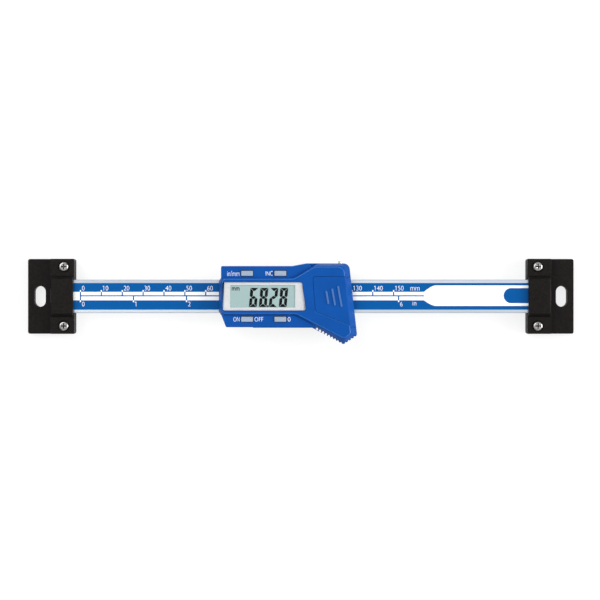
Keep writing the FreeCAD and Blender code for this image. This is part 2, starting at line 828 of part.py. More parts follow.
def build_lock():
    """The brass pad that presses on the beam's edge, and the slotted screw that drives it."""
    pad_end = "pad_start + pad_length"
    piece(bar_across("lock_pad", "pad_diameter", "pad_start", pad_end), "lock_pad")
    screw = doc.addObject("Part::Cut", "lock_screw")
    screw.Base = bar_across("lock_shank", "lock_shank", f"{pad_end} + pad_seat", "lock_tip")
    screw.Tool = block(
        "lock_blade", about("lock_along", "lock_shank"),
        ("lock_tip - lock_slot_depth", "lock_tip + overrun"), about("lock_level", "lock_slot / 2"),
    )
    piece(screw, "lock_screw")


def build_board():
    """Circuit board, its chip, the domes under the keys and the two contact strips of the display."""
    board = new_body("circuit_board")
    slab(board, [rectangle(("board_left", "board_right"), both("board_half"))], "channel_top", "board_top")
    discs(board, BOARD_SCREWS, "small_shank + 4 * screw_play", "channel_top", "board_top", cut=True)
    piece(board, "circuit_board")

    chip_along = ("chip_left", "chip_left + chip_size")
    chip_levels = ("board_top", "board_top + chip_height")
    chip = block("controller_chip", chip_along, both("chip_size / 2"), chip_levels)
    piece(chip, "controller_chip")

    domes = new_body("switch_domes")
    discs(domes, KEYS.values(), "dome_diameter", "board_top", "board_top + dome_height")
    round_edges(domes, "board_top + dome_height", "dome_round")
    piece(domes, "switch_domes")

    strips = doc.addObject("Part::Compound", "zebra_strips")
    along = ("zebra_left", "zebra_left + zebra_length")
    strips.Links = [
        block(label, along, about(middle, "zebra_width / 2"), ("board_top", "lcd_back"))
        for label, middle in (("zebra_high", "zebra_across"), ("zebra_low", "-zebra_across"))
    ]
    piece(strips, "zebra_strips")


def window(gap):
    """Corners of the display window, drawn in by a gap."""
    low, high = f"-window_low + {gap}", f"window_high - {gap}"
    return [
        (f"window_left + {gap}", low, "window_corner"),
        (f"window_right_low - {gap}", low, "window_corner"),
        (f"window_right_high - {gap}", high, "window_corner"),
        (f"window_left + {gap}", high, "window_corner"),
    ]


def build_display():
    """The display's glass, the white frame on it and the clear window over both."""
    lcd = block("lcd_panel", ("lcd_left", "lcd_right"), both("lcd_half"), ("lcd_back", "lcd_top"))
    piece(lcd, "lcd_panel")
    bezel = new_body("display_frame")
    slab(bezel, [window("window_gap")], "lcd_top", "bezel_top")
    view = rectangle(("view_left", "view_right"), ("-view_low", "view_high"))
    slab(bezel, [view], "lcd_top", "bezel_top", cut=True)
    piece(bezel, "display_frame")
    pane = new_body("display_window")
    slab(pane, [window("window_gap")], "bezel_top", "window_top")
    round_edges(pane, "window_top", "window_edge")
    piece(pane, "display_window")


def build_cell():
    """The button cell, the spring leaf under it and the clip at its side."""
    cell = new_body("battery")
    middle = [("cell_along", "cell_across")]
    can_back = "cell_back + cell_cap_height"
    discs(cell, middle, "cell_cap", "cell_back", can_back)
    discs(cell, middle, "cell_diameter", can_back, "cell_top")
    round_edges(cell, "cell_top", "cell_edge")
    piece(cell, "battery")

    spring = new_body("battery_spring")
    leaf_across = about("cell_across", "contact_width / 2")
    leaf = rectangle(("contact_left", "cell_along + contact_width / 2"), leaf_across, "contact_corner")
    slab(spring, [leaf], "housing_back", "cell_back")
    piece(spring, "battery_spring")

    clip = new_body("battery_clip")
    across = ("clip_low", "clip_low + clip_width")
    slab(clip, [rectangle(("contact_left", "clip_back"), across)], "housing_back", "cell_back")
    upright = rectangle(("clip_back - contact_thickness", "clip_back"), across)
    slab(clip, [upright], "housing_back", "housing_back + clip_height")
    piece(clip, "battery_clip")


def key_plan(along, across, grow):
    """Corners of a key's cap, grown all round."""
    return rectangle(
        about(along, f"(key_length / 2 + {grow})"), about(across, f"(key_width / 2 + {grow})"), "key_corner"
    )


def build_keys():
    """The four keys, each a cap with a flange that holds it under the panel."""
    flange_top = "cavity_top - key_flange_gap"
    for label, (along, across) in KEYS.items():
        key = new_body(label)
        slab(key, [key_plan(along, across, "0")], "key_bottom", "key_top")
        flange = key_plan(along, across, "key_flange")
        slab(key, [flange], f"{flange_top} - key_flange_thickness", flange_top)
        round_edges(key, "key_top", "key_edge")
        piece(key, label)


def teeth():
    """Centres of the notches along the grip's two edges, spaced evenly between the corners."""
    tip = ("tip_along", "-tip_drop")
    margin = value("tooth_margin")
    centres = []
    for start in (("grip_start", "-panel_low"), ("heel_along", "-heel_drop")):
        length = math.dist([value(place) for place in start], [value(place) for place in tip])
        room = length - 2 * margin
        steps = int(room / value("tooth_pitch"))
        for step in range(steps + 1):
            share = (margin + room * step / steps) / length
            centres.append(tuple(f"{a} + {share} * ({b} - ({a}))" for a, b in zip(start, tip)))
    return centres


def build_blank():
    """The front housing's outer form: toothed rim, flat panel, and the raised band that widens to a fan."""
    blank = new_body("housing_blank")
    rim = [
        ("-tab_reach", "-tab_half"),
        ("0", "-tab_foot"),
        ("panel_slant", "-panel_low", "panel_corner"),
        ("grip_start", "-panel_low"),
        ("tip_along", "-tip_drop", "tip_round"),
        ("heel_along", "-heel_drop", "heel_round"),
        ("crown_right", "crown", "crown_corner"),
        ("step_end", "crown", "step_round"),
        ("step_start", "panel_high", "step_round"),
        ("0", "panel_high", "panel_corner"),
        ("0", "tab_foot"),
        ("-tab_reach", "tab_half"),
    ]
    slab(blank, [rim], "housing_back", "rim_top")
    foot = "(band_half + band_draft)"
    low = [
        ("-tab_reach", "-tab_half"),
        ("0", f"-{foot}"),
        ("fan_low", f"-{foot}", "fan_round"),
        ("tip_along", "-tip_drop", "tip_round"),
        ("heel_along", "-heel_drop", "heel_round"),
        ("crown_right", "crown", "crown_corner"),
        ("fan_crown", "crown", "fan_round"),
        ("fan_high", foot, "fan_round"),
        ("0", foot),
        ("-tab_reach", "tab_half"),
    ]
    high = [
        ("-tab_reach + band_slope", "-tab_half"),
        ("band_slope", "-band_half"),
        ("fan_low + fan_low_slope", "-band_half", "fan_round"),
        ("tip_along + tip_lean", "-tip_drop + tip_inset", "tip_round"),
        ("heel_along - heel_inset", "-heel_drop + heel_lift", "heel_round"),
        ("crown_right - edge_inset", "crown - crown_inset", "crown_corner"),
        ("fan_crown - fan_crown_slope", "crown - crown_inset", "fan_round"),
        ("fan_high + fan_high_slope", "band_half", "fan_round"),
        ("band_slope", "band_half"),
        ("-tab_reach + band_slope", "tab_half"),
    ]
    edge = drawn_in(high, "face_chamfer")
    loft(blank, (low, "rim_top"), (high, "face_top - face_chamfer"), (edge, "face_top"))
    inside = "fan_crown + fan_crown_slope"
    panel = [
        ("0", "-tab_foot"),
        ("panel_slant", "-panel_low", "panel_corner"),
        ("grip_start", "-panel_low"),
        (inside, "-tab_half"),
        (inside, "tab_half"),
        ("step_end + overrun", "crown"),
        ("step_end", "crown", "step_round"),
        ("step_start", "panel_high", "step_round"),
        ("0", "panel_high", "panel_corner"),
    ]
    edge = drawn_in(panel, "panel_chamfer")
    loft(blank, (panel, "rim_top"), (panel, "panel_top - panel_chamfer"), (edge, "panel_top"))
    notches = teeth()
    discs(blank, notches, "2 * tooth_radius", "tooth_floor", "above", cut=True)
    discs(blank, notches, "2 * tooth_nick", "housing_back", "tooth_floor", cut=True)
    return blank


def cover_plan(left_high, left_low, grow):
    """Corners of a form as long as the battery cover, from two left corners, grown at its long edges."""
    high = f"cover_high + {grow}"
    low = f"-cover_low - ({grow})"
    return [
        (left_high, high, "cover_corner"),
        (left_low, f"{low} - cover_slant * ({left_low} - cover_left_low)", "cover_corner"),
        ("cover_right", f"{low} - cover_slant * (cover_right - cover_left_low)"),
        ("cover_right", high),
    ]


def build_cover_form(label, gap):
    """The space of the battery cover, grown by a gap: skin, tongue layer below it, and end wall."""
    form = new_body(label)
    left = (f"cover_left_high - {gap}", f"cover_left_low - {gap}")
    end = (f"cover_end - {gap}", f"cover_end - {gap}")
    slab(form, [cover_plan(*left, gap)], "cover_split", "above")
    tongue = cover_plan(*left, f"{gap} + cover_tongue_reach")
    slab(form, [tongue], f"cover_back - {gap}", f"cover_split + {gap}")
    slab(form, [cover_plan(*end, gap)], f"rim_top - {gap}", "cover_split")
    return form


def build_ribs():
    """Slanted finger ribs for the battery cover, each longer than the one before."""
    ribs = new_body("cover_ribs")
    loops = []
    for i in range(RIB_COUNT):
        along = f"rib_first + {i} * rib_pitch"
        middle = f"rib_middle + {i} * rib_shift"
        half = f"(rib_length + {i} * rib_growth) / 2"
        top = about(f"{along} - rib_lean * {half}", "rib_width / 2")
        low = about(f"{along} + rib_lean * {half}", "rib_width / 2")
        loops.append([
            (low[0], f"{middle} - {half}", "rib_corner"),
            (low[1], f"{middle} - {half}", "rib_corner"),
            (top[1], f"{middle} + {half}", "rib_corner"),
            (top[0], f"{middle} + {half}", "rib_corner"),
        ])
    slab(ribs, loops, "cover_split", "face_top + rib_rise")
    return ribs


def build_housing():
    """The front housing and the battery cover, both cut from one outer form so that they run flush."""
    blank = build_blank()
    hollow = build_cover_form("housing_hollow", "cover_gap")
    cavity = rectangle(("cavity_left", "cavity_right"), both("cavity_half"), "panel_corner")
    slab(hollow, [cavity], "below", "cavity_top")
    lcd_bay = rectangle(("lcd_left - lcd_gap", "lcd_right + lcd_gap"), both("lcd_half + lcd_gap"))
    slab(hollow, [lcd_bay], "below", "lcd_top")
    slab(hollow, [window("0")], "lcd_top - overrun", "above")
    key_holes = [key_plan(*place, "key_hole_gap") for place in KEYS.values()]
    slab(hollow, key_holes, "cavity_top - overrun", "panel_top + overrun")
    cell = [("cell_along", "cell_across")]
    discs(hollow, cell, "cell_diameter + 2 * cell_gap", "below", "cover_back")
    clip_high = "clip_low + clip_width + contact_gap"
    leaf_low = "cell_across - contact_width / 2 - contact_gap"
    leaf_slot = rectangle(("cavity_right - overrun", "cell_along"), (leaf_low, clip_high))
    slab(hollow, [leaf_slot], "below", "cell_back + contact_gap")
    clip_left = "clip_back - contact_thickness - contact_gap"
    clip_slot = rectangle((clip_left, "cell_along"), ("clip_low - contact_gap", clip_high))
    slab(hollow, [clip_slot], "below", "housing_back + clip_height + contact_gap")
    discs(hollow, HOUSING_SCREWS, "small_shank + screw_play", "below", "housing_back + pilot_depth")
    housing = doc.addObject("Part::Cut", "front_housing")
    housing.Base = blank
    housing.Tool = hollow
    piece(housing, "front_housing")

    skin = doc.addObject("Part::Common", "cover_skin_form")
    skin.Base = blank
    skin.Tool = build_cover_form("cover_form", "0")
    cover = doc.addObject("Part::Fuse", "battery_cover")
    cover.Base = skin
    cover.Tool = build_ribs()
    piece(cover, "battery_cover")


def check_document():
    """Stops if any object of the document failed, or a sub-part has no sound solid."""
    for thing in doc.Objects:
        if "Invalid" in thing.State or "Error" in thing.State:
            raise RuntimeError(f"{thing.Name} failed: {thing.State}")
    for thing in pieces:
        if thing.Shape.isNull() or not thing.Shape.isValid() or not thing.Shape.Solids:
            raise RuntimeError(f"{thing.Label} has no sound shape")


def main():
    """Builds every sub-part, checks them all, and writes one file for each."""
    build_beam()
    build_bracket("left", "left_face", "-1")
    build_bracket("right", "right_face", "1")
    build_frame()
    build_plate()
    build_gib()
    build_lock()
    build_board()
    build_display()
    build_cell()
    build_keys()
    build_housing()
    doc.recompute()
    check_document()
    os.makedirs("parts", exist_ok=True)
    for thing in pieces:
        thing.Shape.exportStep(f"parts/{thing.Label}.step")


main()
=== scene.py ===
"""Looks of a digital linear scale: the finish of every piece, and the print, legends and digits.

The file is laid out as an add-on and is run as a script. Lengths are metres in the frame of the
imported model: +X runs along the beam, +Y across it and +Z out of the display's face.
"""
import json
import math

import bmesh
import bpy
import numpy as np
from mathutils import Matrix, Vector
from mathutils.geometry import convex_hull_2d


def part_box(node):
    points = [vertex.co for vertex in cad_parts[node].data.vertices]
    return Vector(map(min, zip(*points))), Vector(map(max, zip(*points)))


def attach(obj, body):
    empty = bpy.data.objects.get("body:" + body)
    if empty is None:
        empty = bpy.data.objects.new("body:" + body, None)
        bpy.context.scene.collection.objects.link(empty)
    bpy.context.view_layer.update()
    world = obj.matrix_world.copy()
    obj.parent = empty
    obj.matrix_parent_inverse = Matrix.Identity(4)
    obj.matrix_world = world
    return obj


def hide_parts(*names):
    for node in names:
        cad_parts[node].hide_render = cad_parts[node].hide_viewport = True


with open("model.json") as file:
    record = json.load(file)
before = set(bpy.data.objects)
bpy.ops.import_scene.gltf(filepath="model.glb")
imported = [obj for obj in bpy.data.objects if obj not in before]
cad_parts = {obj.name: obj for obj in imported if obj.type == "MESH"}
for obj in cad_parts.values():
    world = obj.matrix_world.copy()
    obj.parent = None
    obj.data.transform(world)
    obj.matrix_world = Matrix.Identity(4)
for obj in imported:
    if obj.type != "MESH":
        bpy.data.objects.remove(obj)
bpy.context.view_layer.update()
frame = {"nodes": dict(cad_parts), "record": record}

bl_info = {
    "name": "Digital linear scale looks",
    "version": (1, 0, 0),
    "blender": (4, 5, 0),
    "location": "View3D > Sidebar > Linear scale",
    "description": "Finishes, print and digits of a digital linear scale around its packed model",
    "category": "Object",
}

MM = 0.001
INCH = 25.4 * MM

# Thickness of a layer of print.
INK = 0.012 * MM

# Corners of a CAD node, or of lettering, that are nearer than this are one, and edges of a node
# that are shorter than a sliver are closed up.
NODE_WELD = 0.002 * MM
TEXT_WELD = 0.0002 * MM
SLIVER = 0.01 * MM

# Points along the band's flare, round the end of the end bar and round one corner of a frame.
FLARE_POINTS = 17
ROUND_POINTS = 25
CORNER_POINTS = 7

# The font, in shares of its size: the pitch of its figures, half the depth that text has before
# it is pressed flat, and the flag that its figure one lacks.
FIGURE_PITCH = 0.5
TEXT_HALF = 0.01
ONE_FLAG = np.array([[0.2165, 0.668], [0.085, 0.588], [0.085, 0.52], [0.2165, 0.592]])

# Nearly all values of a noise texture lie between these.
NOISE_LOW = 0.3
NOISE_HIGH = 0.7

# Segments that are lit for each figure.
LIT = {
    "0": "abcdef", "1": "bc", "2": "abged", "3": "abgcd", "4": "fgbc",
    "5": "afgcd", "6": "afgedc", "7": "abc", "8": "abcdefg", "9": "abcdfg",
}

# Legends beside the keys: text, the share of it that lies left of its place, its width in
# millimetres, and its height as a share of the capitals' height.
KEYS = ("units_key", "mode_key", "power_key", "zero_key")
LEGENDS = (
    ("units_key", "in/mm", 1.0, 5.8, 1.22),
    ("mode_key", "INC", 1.0, 3.4, 1.0),
    ("power_key", "ON", 1.0, 2.9, 1.0),
    ("power_key", "OFF", 0.0, 4.1, 1.0),
    ("zero_key", "0", 0.0, 1.25, 1.0),
)

# How far the edges of each eased node are eased, in millimetres.
EASED = {
    "left_bracket": 0.18, "right_bracket": 0.18, "left_clamp": 0.15, "right_clamp": 0.15,
    "left_clamp_screws": 0.05, "right_clamp_screws": 0.05,
    "front_housing": 0.2, "battery_cover": 0.16, **dict.fromkeys(KEYS, 0.05),
    "slider_frame": 0.1, "back_plate": 0.12,
    "back_plate_screws": 0.04, "housing_screws": 0.04, "lock_screw": 0.04, "battery": 0.06,
}

# Moulded plastics: colour, roughness, specular level, spread of the shades, and in millimetres the
# size of the flow marks and the size and depth of the grain.
PLASTICS = {
    "housing_blue": ("housing", 0.36, 0.07, 0.06, 9.0, 0.16, 0.006),
    # Partly edge wear and partly painted highlight: a lighter, glossier blue on the housing's eased
    # edges.
    "housing_edge": ("edge", 0.3, 0.3, 0.06, 9.0, 0.5, 0.003),
    "bracket_black": ("bracket", 0.5, 0.08, 0.3, 1.1, 0.3, 0.02),
    "frame_black": ("carriage", 0.5, 0.4, 0.1, 9.0, 0.25, 0.01),
    "bezel_white": ("bezel", 0.3, 0.4, 0.02, 9.0, 0.2, 0.003),
    "key_grey": ("key", 0.34, 0.5, 0.05, 9.0, 0.12, 0.006),
    "chip_black": ("chip", 0.55, 0.4, 0.1, 9.0, 0.1, 0.008),
    "strip_laminate": ("strip", 0.5, 0.4, 0.15, 9.0, 0.3, 0.01),
}

# How near to the housing's face an edge counts as level with it.
FACE_ROOM = 0.1 * MM

# Heights over the housing's face between which its ribs turn pale, a painted highlight on their
# tops, and depths under a key's top between which its sides turn dark, a painted shade.
RIB_FOOT, RIB_TOP = 0.1 * MM, 0.4 * MM
KEY_SHADE_START, KEY_SHADE_FULL = 0.06 * MM, 0.22 * MM

# Reach of a clamp screw's cross recess from the screw's axis, and its depth.
RECESS_REACH = 1.4 * MM
RECESS_DEPTH = 0.8 * MM

# Side of each square light, and its place from the point under the camera.
LIGHTS = {
    "key": (1.0, (-0.75, 0.55, 1.0)),
    "side": (2.4, (3.3, 0.0, 1.5)),
    "fill": (1.2, (0.8, -0.2, 1.0)),
}

# Linear colours of the sky at the horizon and overhead.
SKY_LOW = (0.06, 0.06, 0.065)
SKY_HIGH = (0.78, 0.78, 0.78)

SLOT_OF = {part["node"]: part["material_slot"] for part in frame["record"]["subparts"]}
BODY_OF = {
    node: body for body, nodes in frame["record"]["behaviour"]["bodies"].items() for node in nodes
}


def srgb(red, green, blue):
    """Linear colour of an 8-bit screen colour."""
    tone = np.array([red, green, blue]) / 255
    linear = np.where(tone <= 0.04045, tone / 12.92, ((tone + 0.055) / 1.055) ** 2.4)
    return tuple(float(part) for part in linear)


def length(name, description, millimetres):
    """A length property whose default is given in millimetres."""
    return bpy.props.FloatProperty(
        name=name, description=description, default=millimetres * MM, precision=5,
        subtype="DISTANCE", unit="LENGTH",
    )


def colour(name, description, *screen):
    """A colour property whose default is an 8-bit screen colour."""
    return bpy.props.FloatVectorProperty(
        name=name, description=description, default=srgb(*screen),
        min=0, max=1, size=3, subtype="COLOR",
    )


def number(name, description, value):
    """A plain number property."""
    return bpy.props.FloatProperty(name=name, description=description, default=value)


class LabelPrint(bpy.types.PropertyGroup):
    """Sizes of what is printed on the beam's label."""

    zero_inset: length("Zero inset", "From the left clamp's face to the zero marks", 3.1)
    range_mm: bpy.props.IntProperty(name="Range", description="Last millimetre mark", default=150)
    step_mm: bpy.props.IntProperty(name="Step", description="Millimetres between marks", default=10)
    range_in: bpy.props.IntProperty(name="Inch range", description="Last inch mark", default=6)
    band_high: length("Band above", "Upper edge of the white band", 2.15)
    band_low: length("Band below", "Lower edge of the white band, below the middle", 1.9)
    line_at: length("Line place", "Height of the fine line along the band", 0.25)
    line_width: length("Line width", "Width of the fine line along the band", 0.55)
    mark_width: length("Mark width", "Width of a mark", 0.6)
    mark_reach: length("Mark reach", "How far a mark runs on past the band", 0.85)
    numeral_height: length("Numeral height", "Height of the numerals", 2.25)
    numeral_narrow: number("Numeral narrowing", "Share of the font's width that is kept", 0.88)
    numeral_lift: length("Numeral lift", "From the band's edge to the numerals", 0.65)
    numeral_gap: length("Numeral gap", "From a mark's middle to its numeral", 0.72)
    unit_gap: length("Unit gap", "From the last millimetre mark to the units' names", 8.1)
    unit_width: length("Unit width", "Width of the millimetres' sign", 4.3)
    unit_height: length("Unit height", "Height of the millimetres' sign", 1.665)
    inch_shift: length("Inch shift", "How far right the inches' sign stands of the other", 1.008)
    inch_lift: length("Inch lift", "From the inch numerals' feet up to the inches' sign", 0.45)
    inch_width: length("Inch width", "Width of the inches' sign", 1.72)
    flare_start: length("Flare start", "From the last millimetre mark to the band's flare", 14.5)
    flare_length: length("Flare length", "Length of the band's flare", 5.9)
    field_high: length("Field above", "Upper edge of the white field", 5.25)
    field_low: length("Field below", "Lower edge of the white field, below the middle", 4.6)
    pill_start: length("Pill start", "From the last millimetre mark to the round end bar", 52.7)
    pill_high: length("Pill above", "Upper edge of the round end bar", 3.95)
    pill_low: length("Pill below", "Lower edge of the round end bar, below the middle", 3.25)


class ReadoutPrint(bpy.types.PropertyGroup):
    """Sizes of the display's window and digits, and of the legends beside the keys."""

    reading: bpy.props.StringProperty(name="Reading", description="Number shown", default="68.28")
    digit_height: length("Digit height", "Height of a digit", 9.1)
    digit_width: length("Digit width", "Width of a digit before it is slanted", 3.75)
    digit_pitch: length("Digit pitch", "From digit to digit", 4.73)
    digit_right: length("Digit place", "From the panel's left edge to the last digit's right", 29.0)
    digit_drop: length("Digit drop", "How far the digits' feet lie below the middle", 5.1)
    digit_slant: number("Slant", "Lean of the digits", 0.09)
    segment_width: length("Segment width", "Width of a segment", 1.42)
    segment_gap: length("Segment gap", "Gap between segments", 0.1)
    dot_side: length("Dot side", "Side of the decimal point", 0.781)
    sign_height: length("Sign height", "Height of the unit sign in the display", 1.55)
    sign_width: length("Sign width", "Width of the unit sign in the display", 3.7)
    sign_weight: number("Sign weight", "Growth of the unit sign's strokes on each side", 0.02)
    sign_left: length("Sign place", "From the panel's left edge to the unit sign", 3.0)
    sign_low: length("Sign level", "Foot of the unit sign above the middle", 2.75)
    border_left: length("Border left", "Width of the printed border at the left", 3.4)
    border_right: length("Border right", "Width of the printed border at the right", 4.95)
    border_high: length("Border above", "Width of the printed border above", 1.25)
    border_low: length("Border below", "Width of the printed border below", 1.35)
    border_corner: length("Border corner", "Corner radius of the window's clear part", 0.3)
    film_left: length("Film left", "From the window's left edge to the display's film", 3.29)
    film_right: length("Film right", "From the window's right edge to the display's film", 4.87)
    film_side: length("Film side", "From the window's long edges to the display's film", 1.34)
    film_gap: length("Film gap", "From the display's film to the pane's back", 0.25)
    pane: length("Pane", "Thickness of the window's clear pane", 0.4)
    legend_height: length("Legend height", "Height of the capitals beside the keys", 2.05)
    legend_gap: length("Legend gap", "From a key's cap to its legend", 0.75)
    key_flange: length("Key flange", "How far a key's hidden flange passes its cap", 0.7)
    key_rise: length("Key rise", "From the panel up to a key's top", 0.5)


class Finishes(bpy.types.PropertyGroup):
    """Colours of the finishes."""

    housing: colour("Housing", "Moulded blue of the read-out", 12, 76, 155)
    # Painted highlight: the pale tops of the housing's ribs.
    rubbed: colour("Rubbed housing", "Housing where fingers rub its ribs", 72, 111, 174)
    # Wear and painted highlight: the lighter blue of the housing's eased edges.
    edge: colour("Housing edges", "Housing where its edges are rubbed smooth", 38, 100, 178)
    label: colour("Label", "Printed blue of the label", 0, 84, 153)
    white: colour("White", "White print", 250, 251, 251)
    bezel: colour("Display frame", "Frame of the display", 221, 223, 226)
    bracket: colour("Bracket", "Moulded black of the brackets", 24, 21, 20)
    carriage: colour("Carriage", "Moulded black of the frame on the beam", 34, 34, 36)
    steel: colour("Steel", "Ground steel of the beam", 210, 219, 230)
    plating: colour("Plating", "Bright plating of the screws", 176, 174, 172)
    # Painted shade: the dark of the screws' cross recesses.
    recess: colour("Recess", "Dull plating in the screws' recesses", 46, 43, 41)
    key: colour("Key", "Keys", 148, 163, 182)
    # Painted shade: the dark sides round the keys' tops.
    key_side: colour("Key sides", "Unpainted sides of the keys", 62, 72, 92)
    lcd: colour("Display", "Display background", 172, 198, 198)
    segment: colour("Segment", "Display segments", 14, 16, 18)
    plate: colour("Plate", "Dark oxide of the back plate", 62, 62, 66)
    brass: colour("Brass", "Brass of gib and lock pad", 206, 168, 92)
    board: colour("Board", "Solder mask of the circuit board", 18, 84, 44)
    chip: colour("Chip", "Moulded black of the chip", 26, 26, 27)
    strip: colour("Strip", "Laminate of the strip in the beam", 150, 126, 78)
    contact: colour("Contacts", "Spring steel of the contacts", 205, 205, 206)
    dome: colour("Domes", "Pressed steel of the switch domes", 214, 214, 216)
    cell: colour("Cell", "Pressed steel of the button cell", 208, 208, 206)


class Stage(bpy.types.PropertyGroup):
    """Camera, floor and light."""

    camera_height: length("Camera height", "From the beam's face up to the camera", 830.0)
    view_width: length("View width", "Width of the picture at the beam's face", 287.4)
    view_x: length("View middle", "Place along the beam under the camera", 125.15)
    view_y: length("View offset", "Place across the beam under the camera", -1.75)
    floor_size: length("Floor size", "Side of the square floor", 40000.0)
    floor_gap: length("Floor gap", "From the mounting plane down to the floor", 0.2)
    floor_cloud: length("Floor clouds", "Size of the faint clouds in the floor", 60.0)
    floor: colour("Floor", "Pale floor", 132, 132, 133)
    glow: number("Floor glow", "Light of the lit table", 0.78)
    key_power: number("Key light", "Power of the key light", 10.0)
    side_power: number("Side light", "Power of the side light", 117.0)
    fill_power: number("Fill light", "Power of the fill light", 2.0)


class Finish:
    """A Principled material in the making, whose details read the object's own coordinates."""

    def __init__(self, name, **sockets):
        self.material = bpy.data.materials.get(name) or bpy.data.materials.new(name)
        self.material.use_nodes = True
        self.tree = self.material.node_tree
        self.tree.nodes.clear()
        self.shader = self.tree.nodes.new("ShaderNodeBsdfPrincipled")
        self.place = self.tree.nodes.new("ShaderNodeTexCoord").outputs["Object"]
        self.node("ShaderNodeOutputMaterial", {"Surface": self.shader.outputs["BSDF"]})
        for socket, setting in sockets.items():
            wanted = self.shader.inputs[socket.replace("_", " ")]
            wanted.default_value = (*setting, 1) if wanted.type == "RGBA" else setting

    def node(self, kind, links, **settings):
        """Adds a node, with its settings and with links from other nodes' outputs."""
        made = self.tree.nodes.new(kind)
        for name, setting in settings.items():
            if name in made.inputs:
                made.inputs[name].default_value = setting
            else:
                setattr(made, name, setting)
        for name, output in links.items():
            self.tree.links.new(output, made.inputs[name])
        return made

    def noise(self, size, stretch=(1, 1, 1), detail=3.0):
        """Noise whose lumps are about one size, stretched along the axes."""
        mapping = self.node("ShaderNodeMapping", {"Vector": self.place})
        mapping.inputs["Scale"].default_value = [1 / part for part in stretch]
        made = self.node(
            "ShaderNodeTexNoise", {"Vector": mapping.outputs[0]}, Scale=1 / size, Detail=detail
        )
        return made.outputs["Fac"]

    def stripes(self, pitch, axis, width=0.5):
        """Stripes across one axis: 1 on a share of each pitch, 0 on the rest."""
        split = self.node("ShaderNodeSeparateXYZ", {0: self.place})
        turns = self.node("ShaderNodeMath", {0: split.outputs[axis]}, operation="MULTIPLY")
        turns.inputs[1].default_value = 1 / pitch
        part = self.node("ShaderNodeMath", {0: turns.outputs[0]}, operation="FRACT")
        lit = self.node("ShaderNodeMath", {0: part.outputs[0]}, operation="LESS_THAN")
        lit.inputs[1].default_value = width
        return lit.outputs[0]

    def tint(self, share, low, high, start=NOISE_LOW, stop=NOISE_HIGH):
        """Base colour that runs from one colour to another as a share rises."""
        ramp = self.node("ShaderNodeValToRGB", {"Fac": share})
        first, last = ramp.color_ramp.elements
        first.position, last.position = start, stop
        first.color, last.color = (*low, 1), (*high, 1)
        self.tree.links.new(ramp.outputs["Color"], self.shader.inputs["Base Color"])

    def gloss(self, share, low, high):
        """Roughness that runs from one value to another as a noise rises."""
        ends = {"From Min": NOISE_LOW, "From Max": NOISE_HIGH, "To Min": low, "To Max": high}
        spread = self.node("ShaderNodeMapRange", {"Value": share}, **ends)
        self.tree.links.new(spread.outputs["Result"], self.shader.inputs["Roughness"])

    def worn(self, share, tone):
        """Base colour that gives way to another as a share rises, for painted highlights and shade.
        """
        base = self.shader.inputs["Base Color"]
        links = {0: share, 6: base.links[0].from_socket}
        blend = self.node("ShaderNodeMix", links, data_type="RGBA")
        blend.inputs[7].default_value = (*tone, 1)
        self.tree.links.new(blend.outputs[2], base)

    def height(self, start, stop):
        """Share that runs from 0 at one level to 1 at another."""
        split = self.node("ShaderNodeSeparateXYZ", {0: self.place})
        ends = {"From Min": start, "From Max": stop}
        rise = self.node("ShaderNodeMapRange", {"Value": split.outputs["Z"]}, **ends)
        return rise.outputs["Result"]

    def marked(self, attribute):
        """Share that a piece keeps in an attribute of its own."""
        return self.node("ShaderNodeAttribute", {}, attribute_name=attribute).outputs["Fac"]

    def relief(self, share, depth):
        """Small relief of a real depth."""
        bump = self.node("ShaderNodeBump", {"Height": share}, Distance=depth, Strength=1.0)
        self.tree.links.new(bump.outputs["Normal"], self.shader.inputs["Normal"])


def shades(base, spread):
    """A darker and a lighter shade of a colour."""
    base = np.array(base)
    return tuple(base * (1 - spread)), tuple(np.minimum(base * (1 + spread), 1))


def moulded_plastic(name, base, rough, specular, spread, flow, grain, depth):
    """Moulded plastic: slow flow marks in its colour and the grain of the tool on its surface."""
    finish = Finish(name, Specular_IOR_Level=specular)
    finish.tint(finish.noise(flow * MM), *shades(base, spread))
    finish.gloss(finish.noise(1.2 * MM), rough - 0.05, rough + 0.06)
    finish.relief(finish.noise(grain * MM, detail=2.0), depth * MM)
    return finish


def brushed_metal(name, base, rough, stretch, spread=0.1):
    """Ground or brushed metal: fine scratches drawn out along the beam by a factor."""
    drawn = (stretch, 1, 1)
    finish = Finish(name, Metallic=1.0, Anisotropic=0.4)
    finish.tint(finish.noise(0.05 * MM, drawn, 4.0), *shades(base, spread))
    finish.gloss(finish.noise(0.12 * MM, drawn), rough - 0.07, rough + 0.08)
    finish.relief(finish.noise(0.04 * MM, drawn), 0.002 * MM)


def plated_metal(name, base, rough):
    """Plated or pressed metal: nearly even, with faint clouds and dimples."""
    finish = Finish(name, Metallic=1.0)
    finish.tint(finish.noise(1.5 * MM), *shades(base, 0.05))
    finish.gloss(finish.noise(0.4 * MM), rough - 0.05, rough + 0.08)
    finish.relief(finish.noise(0.25 * MM), 0.003 * MM)
    return finish


def printed_film(name, base, rough=0.38, spread=0.035):
    """Ink on satin film: a faint mottle and the film's fine tooth."""
    finish = Finish(name, Specular_IOR_Level=0.08)
    finish.tint(finish.noise(0.7 * MM), *shades(base, spread))
    finish.gloss(finish.noise(0.5 * MM), rough - 0.05, rough + 0.05)
    finish.relief(finish.noise(0.09 * MM), 0.0015 * MM)


def clear_window(name):
    """Thin clear plastic that lets light through, with a polish that varies a little."""
    finish = Finish(name, Base_Color=(0.01, 0.012, 0.012), Alpha=0.06, IOR=1.49)
    finish.gloss(finish.noise(6 * MM), 0.03, 0.08)
    finish.material.surface_render_method = "BLENDED"


